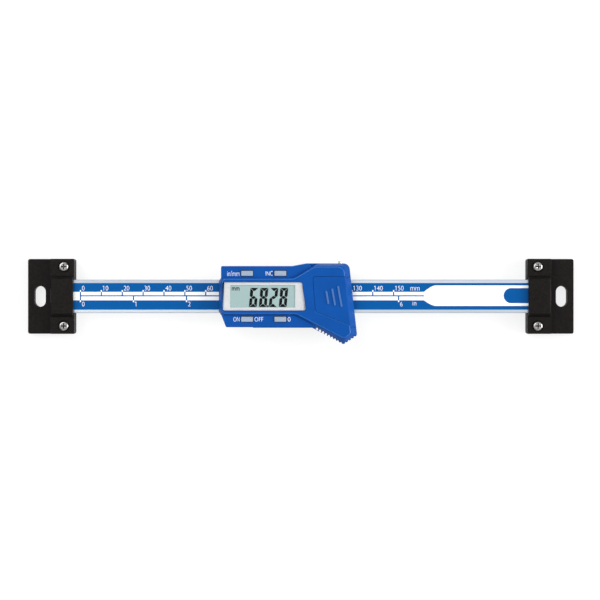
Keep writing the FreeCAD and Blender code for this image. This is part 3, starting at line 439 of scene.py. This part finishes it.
def striped_rubber(name):
    """Layered contact rubber: thin dark sheets between paler ones."""
    dark, pale = (0.02, 0.02, 0.02), (0.22, 0.2, 0.2)
    finish = Finish(name, Roughness=0.7)
    finish.tint(finish.stripes(0.18 * MM, "X"), dark, pale, start=0.4, stop=0.6)
    finish.relief(finish.noise(0.3 * MM), 0.01 * MM)


def solder_mask(name, base):
    """Solder mask over copper tracks, which show as paler stripes that stand a little proud."""
    finish = Finish(name, Specular_IOR_Level=0.5, Roughness=0.35)
    tracks = finish.stripes(1.27 * MM, "Y", width=0.4)
    finish.tint(tracks, base, tuple(1.7 * part for part in base), start=0.4, stop=0.6)
    finish.relief(tracks, 0.03 * MM)


def add_piece(name, mesh, body, finish):
    """Links a mesh as a piece that rides on a body and has a finish."""
    piece = bpy.data.objects.new(name, mesh)
    bpy.context.scene.collection.objects.link(piece)
    mesh.materials.clear()
    mesh.materials.append(bpy.data.materials[finish])
    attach(piece, body)
    return piece


def paint(*nodes):
    """Gives CAD nodes the finish of their material slot."""
    for node in nodes:
        mesh = frame["nodes"][node].data
        mesh.materials.clear()
        mesh.materials.append(bpy.data.materials[SLOT_OF[node]])


def welded(node):
    """A copy of a CAD node's mesh, merged to one skin and open to edits."""
    shape = bmesh.new()
    shape.from_mesh(frame["nodes"][node].data)
    bmesh.ops.remove_doubles(shape, verts=shape.verts, dist=NODE_WELD)
    return shape


def finished(shape, name):
    """An edited shape as a mesh."""
    mesh = bpy.data.meshes.new(name)
    shape.to_mesh(mesh)
    shape.free()
    return mesh


def spots_of(mesh):
    """Places of a mesh's vertices, a row for each."""
    spots = np.empty(3 * len(mesh.vertices))
    mesh.vertices.foreach_get("co", spots)
    return spots.reshape(-1, 3)


def ease_edges(node, level=-math.inf, side=-math.inf, slim=25.0, worn=None):
    """A copy of a CAD node whose sharp edges are eased and whose round faces are smooth.

    Edges below a level are eased by a share of the width, or stay sharp where they lie past a
    side across the beam. Inner edges stay sharp too, and edges that meet a corner slimmer than
    so many degrees. The eased strips may have a finish of their own: wear and painted highlight.
    """
    low_share, sharp_turn, flat_turn = 0.4, math.radians(28.0), math.radians(0.5)
    shape = welded(node)
    bmesh.ops.dissolve_degenerate(shape, edges=shape.edges, dist=SLIVER)
    bmesh.ops.dissolve_limit(shape, verts=shape.verts, edges=shape.edges, angle_limit=flat_turn)
    weight = shape.edges.layers.float.new("bevel_weight_edge")
    steep = [edge for edge in shape.edges if edge.calc_face_angle(0.0) > sharp_turn]
    corners = [corner for face in shape.faces for corner in face.loops]
    tips = {corner.vert for corner in corners if corner.calc_angle() < math.radians(slim)}
    kept = {edge for tip in tips for edge in tip.link_edges}
    for edge in steep:
        low = min(vert.co.z for vert in edge.verts) < level
        past = low and max(vert.co.y for vert in edge.verts) < side
        edge.smooth = edge.is_convex and not past and edge not in kept
        edge[weight] = 0.0 if not edge.smooth else low_share if low else 1.0
    mesh = finished(shape, node + "_eased")
    mesh.polygons.foreach_set("use_smooth", np.ones(len(mesh.polygons), bool))
    piece = add_piece(node + "_eased", mesh, BODY_OF[node], SLOT_OF[node])
    bevel = piece.modifiers.new("Eased edges", "BEVEL")
    bevel.width = EASED[node] * MM
    bevel.segments = 2
    bevel.limit_method = "WEIGHT"
    bevel.use_clamp_overlap = False
    bevel.face_strength_mode = "FSTR_ALL"
    if worn:
        mesh.materials.append(bpy.data.materials[worn])
        bevel.material = 1
    flats = piece.modifiers.new("Flat faces", "WEIGHTED_NORMAL")
    flats.use_face_influence = True
    flats.keep_sharp = True
    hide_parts(node)
    return piece


# The marked faces take the painted shade of the screws' recesses.
def mark_recesses(piece, axes, front):
    """Marks the faces of the cross recesses in screws' heads, by their place about each axis.

    A face is in a recess if its middle lies within the recess's reach of an axis and no deeper
    than the recess, and if it is a wall of the recess or lies near its floor.
    """
    wall_lean, floor_share, slack = 0.3, 0.7, 1.1
    faces = piece.data.polygons
    middles, normals = np.empty(3 * len(faces)), np.empty(3 * len(faces))
    faces.foreach_get("center", middles)
    faces.foreach_get("normal", normals)
    middles, normals = middles.reshape(-1, 3), normals.reshape(-1, 3)
    away = np.linalg.norm(middles[:, None, :2] - np.array(axes), axis=2).min(1)
    behind = np.abs(middles[:, 2] - front)
    wall = np.abs(normals[:, 2]) < wall_lean
    floor = behind > floor_share * RECESS_DEPTH
    marked = (away < RECESS_REACH) & (behind < slack * RECESS_DEPTH) & (wall | floor)
    recess = piece.data.attributes.new("recess", "FLOAT", "FACE")
    recess.data.foreach_set("value", marked.astype(np.float32))


def prisms(name, outlines, low, high):
    """Outlines, arrays of (x, y) taken counterclockwise, carried straight up between two levels."""
    spots, faces, first = [], [], 0
    for outline in outlines:
        count = len(outline)
        ring = np.arange(count)
        following = np.roll(ring, -1)
        spots += [np.column_stack([outline, np.full(count, level)]) for level in (low, high)]
        sides = np.stack([ring, following, following + count, ring + count], axis=1) + first
        faces += [(first + ring[::-1]).tolist(), (first + count + ring).tolist(), *sides.tolist()]
        first += 2 * count
    mesh = bpy.data.meshes.new(name)
    mesh.from_pydata(np.concatenate(spots).tolist(), [], faces)
    mesh.validate()
    return mesh


def rounded(left, right, low, high, radius):
    """A rectangle with round corners, counterclockwise.

    Each corner is a quarter turn about a point that lies inside it by the radius both ways.
    """
    quarter = np.linspace(0, math.pi / 2, CORNER_POINTS)
    turns = np.arange(4)[:, None] * math.pi / 2 + quarter
    corners = np.array([[right, high], [left, high], [left, low], [right, low]])
    inwards = np.array([[-1, -1], [1, -1], [1, 1], [-1, 1]])
    arcs = radius * np.stack([np.cos(turns), np.sin(turns)], axis=-1)
    return (arcs + (corners + radius * inwards)[:, None]).reshape(-1, 2)


def reach(outline, rays):
    """Distance from (0, 0) to a convex outline along each ray.

    It is the nearest crossing with the lines of the outline's sides that lie ahead.
    """
    sides = np.roll(outline, -1, axis=0) - outline
    outward = np.column_stack([sides[:, 1], -sides[:, 0]])
    facing = rays @ outward.T
    facing[facing < 1e-12] = np.nan
    return np.nanmin((outward * outline).sum(axis=1) / facing, axis=1)


def flat_frame(name, inner, outer, low, high):
    """A flat frame between two convex outlines: a rectangle carried once round their middle.

    At every turn the rectangle runs from where the turn's ray leaves the inner outline to where
    it leaves the outer one, and from the low level to the high one.
    """
    middle = inner.mean(axis=0)
    spots = np.concatenate([inner, outer]) - middle
    turns = np.unique(np.arctan2(spots[:, 1], spots[:, 0]).round(5))
    rays = np.column_stack([np.cos(turns), np.sin(turns)])
    near, far = [
        rays * reach(outline - middle, rays)[:, None] + middle for outline in (inner, outer)
    ]
    corners = ((near, low), (far, low), (far, high), (near, high))
    count = len(turns)
    spots = [np.column_stack([spot, np.full(count, level)]) for spot, level in corners]
    ring = np.arange(count)
    following = np.roll(ring, -1)
    side = np.arange(4)[:, None] * count
    onward = np.roll(side, -1, axis=0)
    faces = [side + ring, side + following, onward + following, onward + ring]
    mesh = bpy.data.meshes.new(name)
    mesh.from_pydata(
        np.concatenate(spots).tolist(), [], np.stack(faces, axis=-1).reshape(-1, 4).tolist()
    )
    mesh.validate()
    return mesh


def bars(middles, width, low, high):
    """Upright rectangles of one width about places along the beam."""
    shape = np.array([[-0.5, 0], [0.5, 0], [0.5, 1], [-0.5, 1]])
    bar = shape * [width, high - low] + [0, low]
    return list(bar + np.column_stack([middles, np.zeros_like(middles)])[:, None])


def lettering(text, height, place, align=0.0, width=None, weight=-0.014, narrow=1.0):
    """Text as a mesh, scaled until its box is as high as asked, with the box's foot at a place.

    The share 0, 0.5 or 1 of the box's width that lies left of the place is its alignment. The
    weight is how far the strokes grow or shrink on each side, as a share of the font's size. The
    font's figure one is a bare stem, so it gets a flag.
    """
    curve = bpy.data.curves.new("lettering", "FONT")
    curve.body = text
    curve.resolution_u = 4
    curve.offset = weight
    curve.extrude = TEXT_HALF
    holder = bpy.data.objects.new("lettering", curve)
    mesh = bpy.data.meshes.new_from_object(holder)
    bpy.data.objects.remove(holder)
    bpy.data.curves.remove(curve)
    flags = [ONE_FLAG + [FIGURE_PITCH * step, 0] for step, sign in enumerate(text) if sign == "1"]
    if flags:
        mesh = joined("lettering", [mesh, prisms("flags", flags, -TEXT_HALF, TEXT_HALF)])
    spots = spots_of(mesh)
    low, high = spots.min(0), spots.max(0)
    scale = np.array([narrow * height, height, INK]) / (high - low)[[1, 1, 2]]
    if width:
        scale[0] = width / (high - low)[0]
    spots = (spots - low) * scale
    spots[:, 0] -= align * spots[:, 0].max()
    mesh.vertices.foreach_set("co", (spots + place).ravel())
    mesh.update()
    return mesh


def joined(name, meshes):
    """Several meshes as one closed mesh."""
    shape = bmesh.new()
    for mesh in meshes:
        shape.from_mesh(mesh)
        bpy.data.meshes.remove(mesh)
    bmesh.ops.remove_doubles(shape, verts=shape.verts, dist=TEXT_WELD)
    bmesh.ops.recalc_face_normals(shape, faces=shape.faces)
    return finished(shape, name)


def digit_segments(size):
    """Outlines of a digit's seven segments, by letter, with its foot at (0, 0) and not slanted.

    The bars are trapezoids with mitred ends, the middle one a flat hexagon. Gaps run along the
    mitres.
    """
    wide, tall = size.digit_width, size.digit_height
    bar, gap = size.segment_width, size.segment_gap
    middle, half, slit = tall / 2, bar / 2, gap / math.sqrt(2)
    upright = np.array([
        [0, gap], [bar, bar + gap], [bar, middle - half - slit], [half, middle - slit],
        [0, middle - half],
    ])
    flat = np.array([[gap, 0], [wide - gap, 0], [wide - bar - gap, bar], [bar + gap, bar]])
    centre = np.array([
        [half + gap, middle], [bar + gap, middle - half], [wide - bar - gap, middle - half],
        [wide - half - gap, middle], [wide - bar - gap, middle + half], [bar + gap, middle + half],
    ])
    over, across, about = np.array([1, -1]), np.array([-1, 1]), np.array([-1, -1])
    top, right = np.array([0, tall]), np.array([wide, 0])
    return {
        "a": (flat * over + top)[::-1],
        "b": upright * about + right + top,
        "c": (upright * across + right)[::-1],
        "d": flat,
        "e": upright,
        "f": (upright * over + top)[::-1],
        "g": centre,
    }


def zero_mark(size):
    """Place of both scales' zero marks along the beam."""
    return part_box("left_clamp")[1].x + size.zero_inset


class SCALE_OT_finishes(bpy.types.Operator):
    """Make the finish of every material slot, and of the print"""

    bl_idname = "scale.finishes"
    bl_label = "Finishes"

    def execute(self, context):
        tone = context.scene.scale_finishes
        self.plastics(tone)
        self.metals(tone)
        printed_film("label_print", tone.label)
        printed_film("label_white", tone.white)
        printed_film("legend_white", tone.white, rough=0.45)
        printed_film("lcd_grey", tone.lcd, rough=0.3, spread=0.02)
        printed_film("lcd_segment", tone.segment, rough=0.35, spread=0.1)
        clear_window("window_clear")
        striped_rubber("strip_rubber")
        solder_mask("board_green", tone.board)
        return {"FINISHED"}

    def plastics(self, tone):
        """Mouldings, with painted highlight on the housing's ribs and painted shade on key sides.
        """
        made = {
            name: moulded_plastic(name, getattr(tone, base), *numbers)
            for name, (base, *numbers) in PLASTICS.items()
        }
        housing, face = made["housing_blue"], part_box("front_housing")[1].z
        # Painted highlight: the housing turns pale up its ribs, from near their foot to near their
        # top.
        housing.worn(housing.height(face + RIB_FOOT, face + RIB_TOP), tone.rubbed)
        keys, top = made["key_grey"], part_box("units_key")[1].z
        # Painted shade: each key darkens from just under its top down its sides.
        keys.worn(keys.height(top - KEY_SHADE_START, top - KEY_SHADE_FULL), tone.key_side)

    def metals(self, tone):
        """Brushed and plated metals, with painted shade in the screws' recesses."""
        brushed_metal("beam_steel", tone.steel, rough=0.34, stretch=400)
        brushed_metal("plate_grey", tone.plate, rough=0.45, stretch=400, spread=0.18)
        brushed_metal("slide_brass", tone.brass, rough=0.32, stretch=40)
        brushed_metal("contact_steel", tone.contact, rough=0.3, stretch=30)
        screws = plated_metal("screw_steel", tone.plating, rough=0.22)
        # Painted shade in the screws' cross recesses, on the faces marked for it.
        screws.worn(screws.marked("recess"), tone.recess)
        plated_metal("dome_steel", tone.dome, rough=0.25)
        plated_metal("cell_steel", tone.cell, rough=0.28)


class SCALE_OT_beam(bpy.types.Operator):
    """Finish the steel beam, the strip in its recess and the label's film"""

    bl_idname = "scale.beam"
    bl_label = "Beam"

    def execute(self, context):
        paint("beam", "scale_strip", "scale_label")
        return {"FINISHED"}


class SCALE_OT_label(bpy.types.Operator):
    """Print the white band and field, the fine line and the round end bar on the label"""

    bl_idname = "scale.label"
    bl_label = "Label print"

    def execute(self, context):
        size = context.scene.scale_label
        zero = zero_mark(size)
        last = zero + size.range_mm * MM
        self.band(size, last + size.flare_start)
        self.bars(size, zero, last)
        return {"FINISHED"}

    def band(self, size, start):
        """The white band, which opens to the field: half width = band + (field - band) f(t).

        f(t) = 1.5 t - 0.5 t cubed, for t from 0 to 1 along the flare.
        """
        low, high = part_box("scale_label")
        share = np.linspace(0, 1, FLARE_POINTS)
        flare = share * (1.5 - 0.5 * share**2)
        along = np.concatenate([[low.x], start + size.flare_length * share, [high.x]])
        opened = np.concatenate([[0], flare, [1]])
        above = size.band_high + (size.field_high - size.band_high) * opened
        below = size.band_low + (size.field_low - size.band_low) * opened
        outline = np.concatenate([
            np.column_stack([along, -below]), np.column_stack([along, above])[::-1],
        ])
        band = prisms("label_band", [outline], high.z, high.z + INK)
        add_piece("label_band", band, "rail", "label_white")

    def bars(self, size, zero, last):
        """The fine line along the band and the end bar, whose left end is a half circle."""
        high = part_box("scale_label")[1]
        stop = last + size.flare_start
        line = np.array([[zero, -0.5], [stop, -0.5], [stop, 0.5], [zero, 0.5]])
        line = line * [1, size.line_width] + [0, size.line_at]
        radius = (size.pill_high + size.pill_low) / 2
        middle = (size.pill_high - size.pill_low) / 2
        turn = np.linspace(math.pi / 2, 3 * math.pi / 2, ROUND_POINTS)
        arc = radius * np.column_stack([np.cos(turn), np.sin(turn)])
        round_end = arc + [last + size.pill_start + radius, middle]
        pill = np.concatenate([round_end, [[high.x, middle - radius], [high.x, middle + radius]]])
        printed = prisms("label_bars", [line, pill], high.z + INK, high.z + 2 * INK)
        add_piece("label_bars", printed, "rail", "label_print")


class SCALE_OT_graduations(bpy.types.Operator):
    """Print the marks, numerals and units of both scales"""

    bl_idname = "scale.graduations"
    bl_label = "Graduations"

    def execute(self, context):
        size = context.scene.scale_label
        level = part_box("scale_label")[1].z
        millimetres = np.arange(0, size.range_mm + 1, size.step_mm)
        inches = np.arange(size.range_in + 1)
        upper = zero_mark(size) + millimetres * MM
        lower = zero_mark(size) + inches * INCH
        self.marks(size, level, upper, lower)

        tall = size.numeral_height
        high_foot = size.band_high + size.numeral_lift
        low_foot = -size.band_low - size.numeral_lift - tall
        rows = ((millimetres, upper, high_foot), (inches, lower, low_foot))
        texts = [
            lettering(
                str(figure), tall, (along + size.numeral_gap, foot, level),
                narrow=size.numeral_narrow,
            )
            for figures, places, foot in rows
            for figure, along in zip(figures, places)
        ]
        along = upper[-1] + size.unit_gap
        place = (along, high_foot, level)
        texts.append(lettering("mm", size.unit_height, place, width=size.unit_width))
        place = (along + size.inch_shift, low_foot + size.inch_lift, level)
        texts.append(lettering("in", tall, place, width=size.inch_width))
        numerals = joined("scale_numerals", texts)
        add_piece("scale_numerals", numerals, "rail", "label_white")
        return {"FINISHED"}

    def marks(self, size, level, upper, lower):
        """The marks, dark on the white band and white where they run on past it."""
        wide = size.mark_width
        above, below = size.band_high, -size.band_low
        dark = bars(upper, wide, size.line_at, above)
        dark += bars(lower, wide, below, size.line_at)
        pale = bars(upper, wide, above, above + size.mark_reach)
        pale += bars(lower, wide, below - size.mark_reach, below)
        marks = prisms("scale_marks", dark, level + INK, level + 3 * INK)
        add_piece("scale_marks", marks, "rail", "label_print")
        tips = prisms("scale_mark_tips", pale, level, level + INK)
        add_piece("scale_mark_tips", tips, "rail", "label_white")


class SCALE_OT_brackets(bpy.types.Operator):
    """Finish the end brackets, their clamps and screws"""

    bl_idname = "scale.brackets"
    bl_label = "Brackets"

    def execute(self, context):
        for end in ("left", "right"):
            ease_edges(end + "_bracket")
            ease_edges(end + "_clamp")
            screws = ease_edges(end + "_clamp_screws")
            low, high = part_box(end + "_clamp_screws")
            middle, radius = (low.x + high.x) / 2, (high.x - low.x) / 2
            axes = [(middle, low.y + radius), (middle, high.y - radius)]
            mark_recesses(screws, axes, high.z)
        return {"FINISHED"}


class SCALE_OT_housing(bpy.types.Operator):
    """Finish the front housing and the battery cover"""

    bl_idname = "scale.housing"
    bl_label = "Housing"

    def execute(self, context):
        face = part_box("front_housing")[1].z
        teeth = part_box("slider_frame")[0].y
        # The housing's eased edges take a lighter blue, partly wear and partly painted highlight.
        ease_edges("front_housing", face - FACE_ROOM, side=teeth, worn="housing_edge")
        ease_edges("battery_cover", face + FACE_ROOM, slim=4.0)
        return {"FINISHED"}


class SCALE_OT_display(bpy.types.Operator):
    """Finish the window, its frame and the panel, and draw the reading"""

    bl_idname = "scale.display"
    bl_label = "Display"

    def execute(self, context):
        size = context.scene.scale_readout
        paint("lcd_panel", "zebra_strips", "display_frame")
        back = self.pane(size)
        self.border(size, back)
        level = self.film(size, back)
        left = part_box("lcd_panel")[0].x
        slant = np.array([[1, 0], [size.digit_slant, 1]])
        foot = np.array([left + size.digit_right, -size.digit_drop])
        outlines = [outline @ slant + foot for outline in self.figures(size)]
        drawn = prisms("reading", outlines, level, level + INK)
        add_piece("reading", drawn, "slider", "lcd_segment")
        place = (left + size.sign_left, size.sign_low, level)
        sign = lettering(
            "mm", size.sign_height, place, width=size.sign_width, weight=size.sign_weight
        )
        add_piece("unit_sign", joined("unit_sign", [sign]), "slider", "lcd_segment")
        return {"FINISHED"}

    def pane(self, size):
        """The clear pane, a copy of the window with its back drawn forward; gives the back."""
        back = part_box("display_window")[1].z - size.pane
        mesh = finished(welded("display_window"), "window_pane")
        spots = spots_of(mesh)
        spots[:, 2] = np.maximum(spots[:, 2], back)
        mesh.vertices.foreach_set("co", spots.ravel())
        mesh.update()
        piece = add_piece("window_pane", mesh, "slider", "window_clear")
        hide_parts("display_window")
        return back

    def border(self, size, back):
        """The white border printed on the pane's back, from its edge to the clear part."""
        low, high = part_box("display_window")
        plan = spots_of(frame["nodes"]["display_window"].data)[:, :2]
        outer = plan[convex_hull_2d(plan.tolist())]
        inner = rounded(
            low.x + size.border_left, high.x - size.border_right,
            low.y + size.border_low, high.y - size.border_high, size.border_corner,
        )
        mesh = flat_frame("window_border", inner, outer, back - INK, back)
        add_piece("window_border", mesh, "slider", "bezel_white")

    def film(self, size, back):
        """The display's front film, from the panel up to close behind the pane; gives its level."""
        low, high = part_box("display_window")
        outline = rounded(
            low.x + size.film_left, high.x - size.film_right,
            low.y + size.film_side, high.y - size.film_side, size.border_corner,
        )
        level = back - size.film_gap
        mesh = prisms("lcd_film", [outline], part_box("lcd_panel")[1].z, level)
        add_piece("lcd_film", mesh, "slider", "lcd_grey")
        return level

    def figures(self, size):
        """Outlines of the lit segments and of the dot, left of the last digit's right foot."""
        segments = digit_segments(size)
        outlines = []
        for place, digit in enumerate(reversed(size.reading.replace(".", ""))):
            shift = [-size.digit_width - place * size.digit_pitch, 0]
            outlines += [segments[letter] + shift for letter in LIT[digit]]
        decimals = len(size.reading) - size.reading.index(".") - 1
        gap = size.digit_pitch - size.digit_width
        dot = np.array([[0, 0], [1, 0], [1, 1], [0, 1]]) * size.dot_side
        outlines.append(dot - [decimals * size.digit_pitch - gap / 2 + size.dot_side / 2, 0])
        return outlines


class SCALE_OT_keys(bpy.types.Operator):
    """Finish the keys and print their legends on the panel"""

    bl_idname = "scale.keys"
    bl_label = "Keys"

    def execute(self, context):
        size = context.scene.scale_readout
        edge = size.key_flange - size.legend_gap
        texts = []
        for key, text, align, width, share in LEGENDS:
            low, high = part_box(key)
            tall = share * size.legend_height
            along = low.x + edge if align else high.x - edge
            place = (along, (low.y + high.y - tall) / 2, high.z - size.key_rise)
            texts.append(lettering(text, tall, place, align, width * MM))
        add_piece("key_legends", joined("key_legends", texts), "slider", "legend_white")
        for key in KEYS:
            ease_edges(key)
        return {"FINISHED"}


class SCALE_OT_carriage(bpy.types.Operator):
    """Finish the frame on the beam, the back plate, the small screws, the gib and the lock"""

    bl_idname = "scale.carriage"
    bl_label = "Carriage"

    def execute(self, context):
        for node in (
            "slider_frame", "back_plate", "back_plate_screws", "housing_screws", "lock_screw",
        ):
            ease_edges(node)
        paint("gib", "gib_spring", "lock_pad")
        return {"FINISHED"}


class SCALE_OT_electronics(bpy.types.Operator):
    """Finish the board, what stands on it, the cell and its contacts"""

    bl_idname = "scale.electronics"
    bl_label = "Electronics"

    def execute(self, context):
        paint(
            "circuit_board", "controller_chip", "switch_domes", "battery_spring", "battery_clip"
        )
        ease_edges("battery")
        return {"FINISHED"}


class SCALE_OT_stage(bpy.types.Operator):
    """Lay the floor, hang the lights and set the camera over the beam"""

    bl_idname = "scale.stage"
    bl_label = "Stage"

    def execute(self, context):
        stage = context.scene.scale_stage
        context.scene.view_settings.view_transform = "Standard"
        self.floor(context, stage)
        self.sky(context)
        self.lights(context, stage)
        self.camera(context, stage)
        return {"FINISHED"}

    def floor(self, context, stage):
        """A flat square below the mounting plane: place = middle + (side u, side v, -gap).

        u and v run from -1/2 to 1/2.
        """
        finish = Finish(
            "floor", Roughness=0.9, Specular_IOR_Level=0.1,
            Emission_Color=(1, 1, 1), Emission_Strength=stage.glow,
        )
        finish.tint(finish.noise(stage.floor_cloud), *shades(stage.floor, 0.01))
        side = np.linspace(-0.5, 0.5, 2) * stage.floor_size
        along, across = np.meshgrid(side + stage.view_x, side + stage.view_y)
        spots = np.column_stack([along.ravel(), across.ravel(), np.full(4, -stage.floor_gap)])
        mesh = bpy.data.meshes.new("floor")
        mesh.from_pydata(spots.tolist(), [], [(0, 1, 3, 2)])
        mesh.materials.append(finish.material)
        floor = bpy.data.objects.new("floor", mesh)
        context.scene.collection.objects.link(floor)

    def sky(self, context):
        """A sky that is dark at the horizon and bright overhead."""
        world = bpy.data.worlds.new("studio")
        context.scene.world = world
        world.use_nodes = True
        tree = world.node_tree
        place = tree.nodes.new("ShaderNodeTexCoord")
        split = tree.nodes.new("ShaderNodeSeparateXYZ")
        ramp = tree.nodes.new("ShaderNodeValToRGB")
        first, last = ramp.color_ramp.elements
        first.position, last.position = 0.0, 1.0
        first.color, last.color = (*SKY_LOW, 1), (*SKY_HIGH, 1)
        tree.links.new(place.outputs["Generated"], split.inputs[0])
        tree.links.new(split.outputs["Z"], ramp.inputs["Fac"])
        tree.links.new(ramp.outputs["Color"], tree.nodes["Background"].inputs["Color"])

    def lights(self, context, stage):
        """A key light at the upper left, a large far side light and a weak fill at the right."""
        middle = Vector((stage.view_x, stage.view_y, 0))
        for name, (side, spot) in LIGHTS.items():
            light = bpy.data.lights.new(name + "_light", "AREA")
            light.energy = getattr(stage, name + "_power")
            light.size = side
            lamp = bpy.data.objects.new(name + "_light", light)
            lamp.location = middle + Vector(spot)
            lamp.rotation_euler = Vector(spot).to_track_quat("Z", "Y").to_euler()
            context.scene.collection.objects.link(lamp)

    def camera(self, context, stage):
        """A camera straight above the beam that takes in the asked width at the beam's face."""
        view = bpy.data.cameras.new("camera")
        view.lens = view.sensor_width * stage.camera_height / stage.view_width
        camera = bpy.data.objects.new("camera", view)
        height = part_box("beam")[1].z + stage.camera_height
        camera.location = (stage.view_x, stage.view_y, height)
        context.scene.collection.objects.link(camera)
        context.scene.camera = camera


STEPS = (
    SCALE_OT_finishes, SCALE_OT_stage, SCALE_OT_beam, SCALE_OT_label, SCALE_OT_graduations,
    SCALE_OT_brackets, SCALE_OT_housing, SCALE_OT_display, SCALE_OT_keys, SCALE_OT_carriage,
    SCALE_OT_electronics,
)
GROUPS = {
    "scale_label": LabelPrint, "scale_readout": ReadoutPrint,
    "scale_finishes": Finishes, "scale_stage": Stage,
}


class SCALE_PT_looks(bpy.types.Panel):
    """Lists the sizes, colours and steps of the linear scale's looks"""

    bl_idname = "SCALE_PT_looks"
    bl_label = "Linear scale"
    bl_space_type = "VIEW_3D"
    bl_region_type = "UI"
    bl_category = "Linear scale"

    def draw(self, context):
        for name, group in GROUPS.items():
            box = self.layout.box()
            settings = getattr(context.scene, name)
            for field in group.__annotations__:
                box.prop(settings, field)
        for step in STEPS:
            self.layout.operator(step.bl_idname)


def register():
    """Registers every class and hangs the settings on the scene."""
    for part in (*GROUPS.values(), *STEPS, SCALE_PT_looks):
        bpy.utils.register_class(part)
    for name, group in GROUPS.items():
        setattr(bpy.types.Scene, name, bpy.props.PointerProperty(type=group))


def unregister():
    """Takes the settings off the scene and unregisters every class."""
    for name in GROUPS:
        delattr(bpy.types.Scene, name)
    for part in (SCALE_PT_looks, *reversed(STEPS), *GROUPS.values()):
        bpy.utils.unregister_class(part)


def main():
    """Runs every step in order."""
    register()
    bpy.ops.scale.finishes()
    bpy.ops.scale.stage()
    bpy.ops.scale.beam()
    bpy.ops.scale.label()
    bpy.ops.scale.graduations()
    bpy.ops.scale.brackets()
    bpy.ops.scale.housing()
    bpy.ops.scale.display()
    bpy.ops.scale.keys()
    bpy.ops.scale.carriage()
    bpy.ops.scale.electronics()


if __name__ == "__main__":
    main()
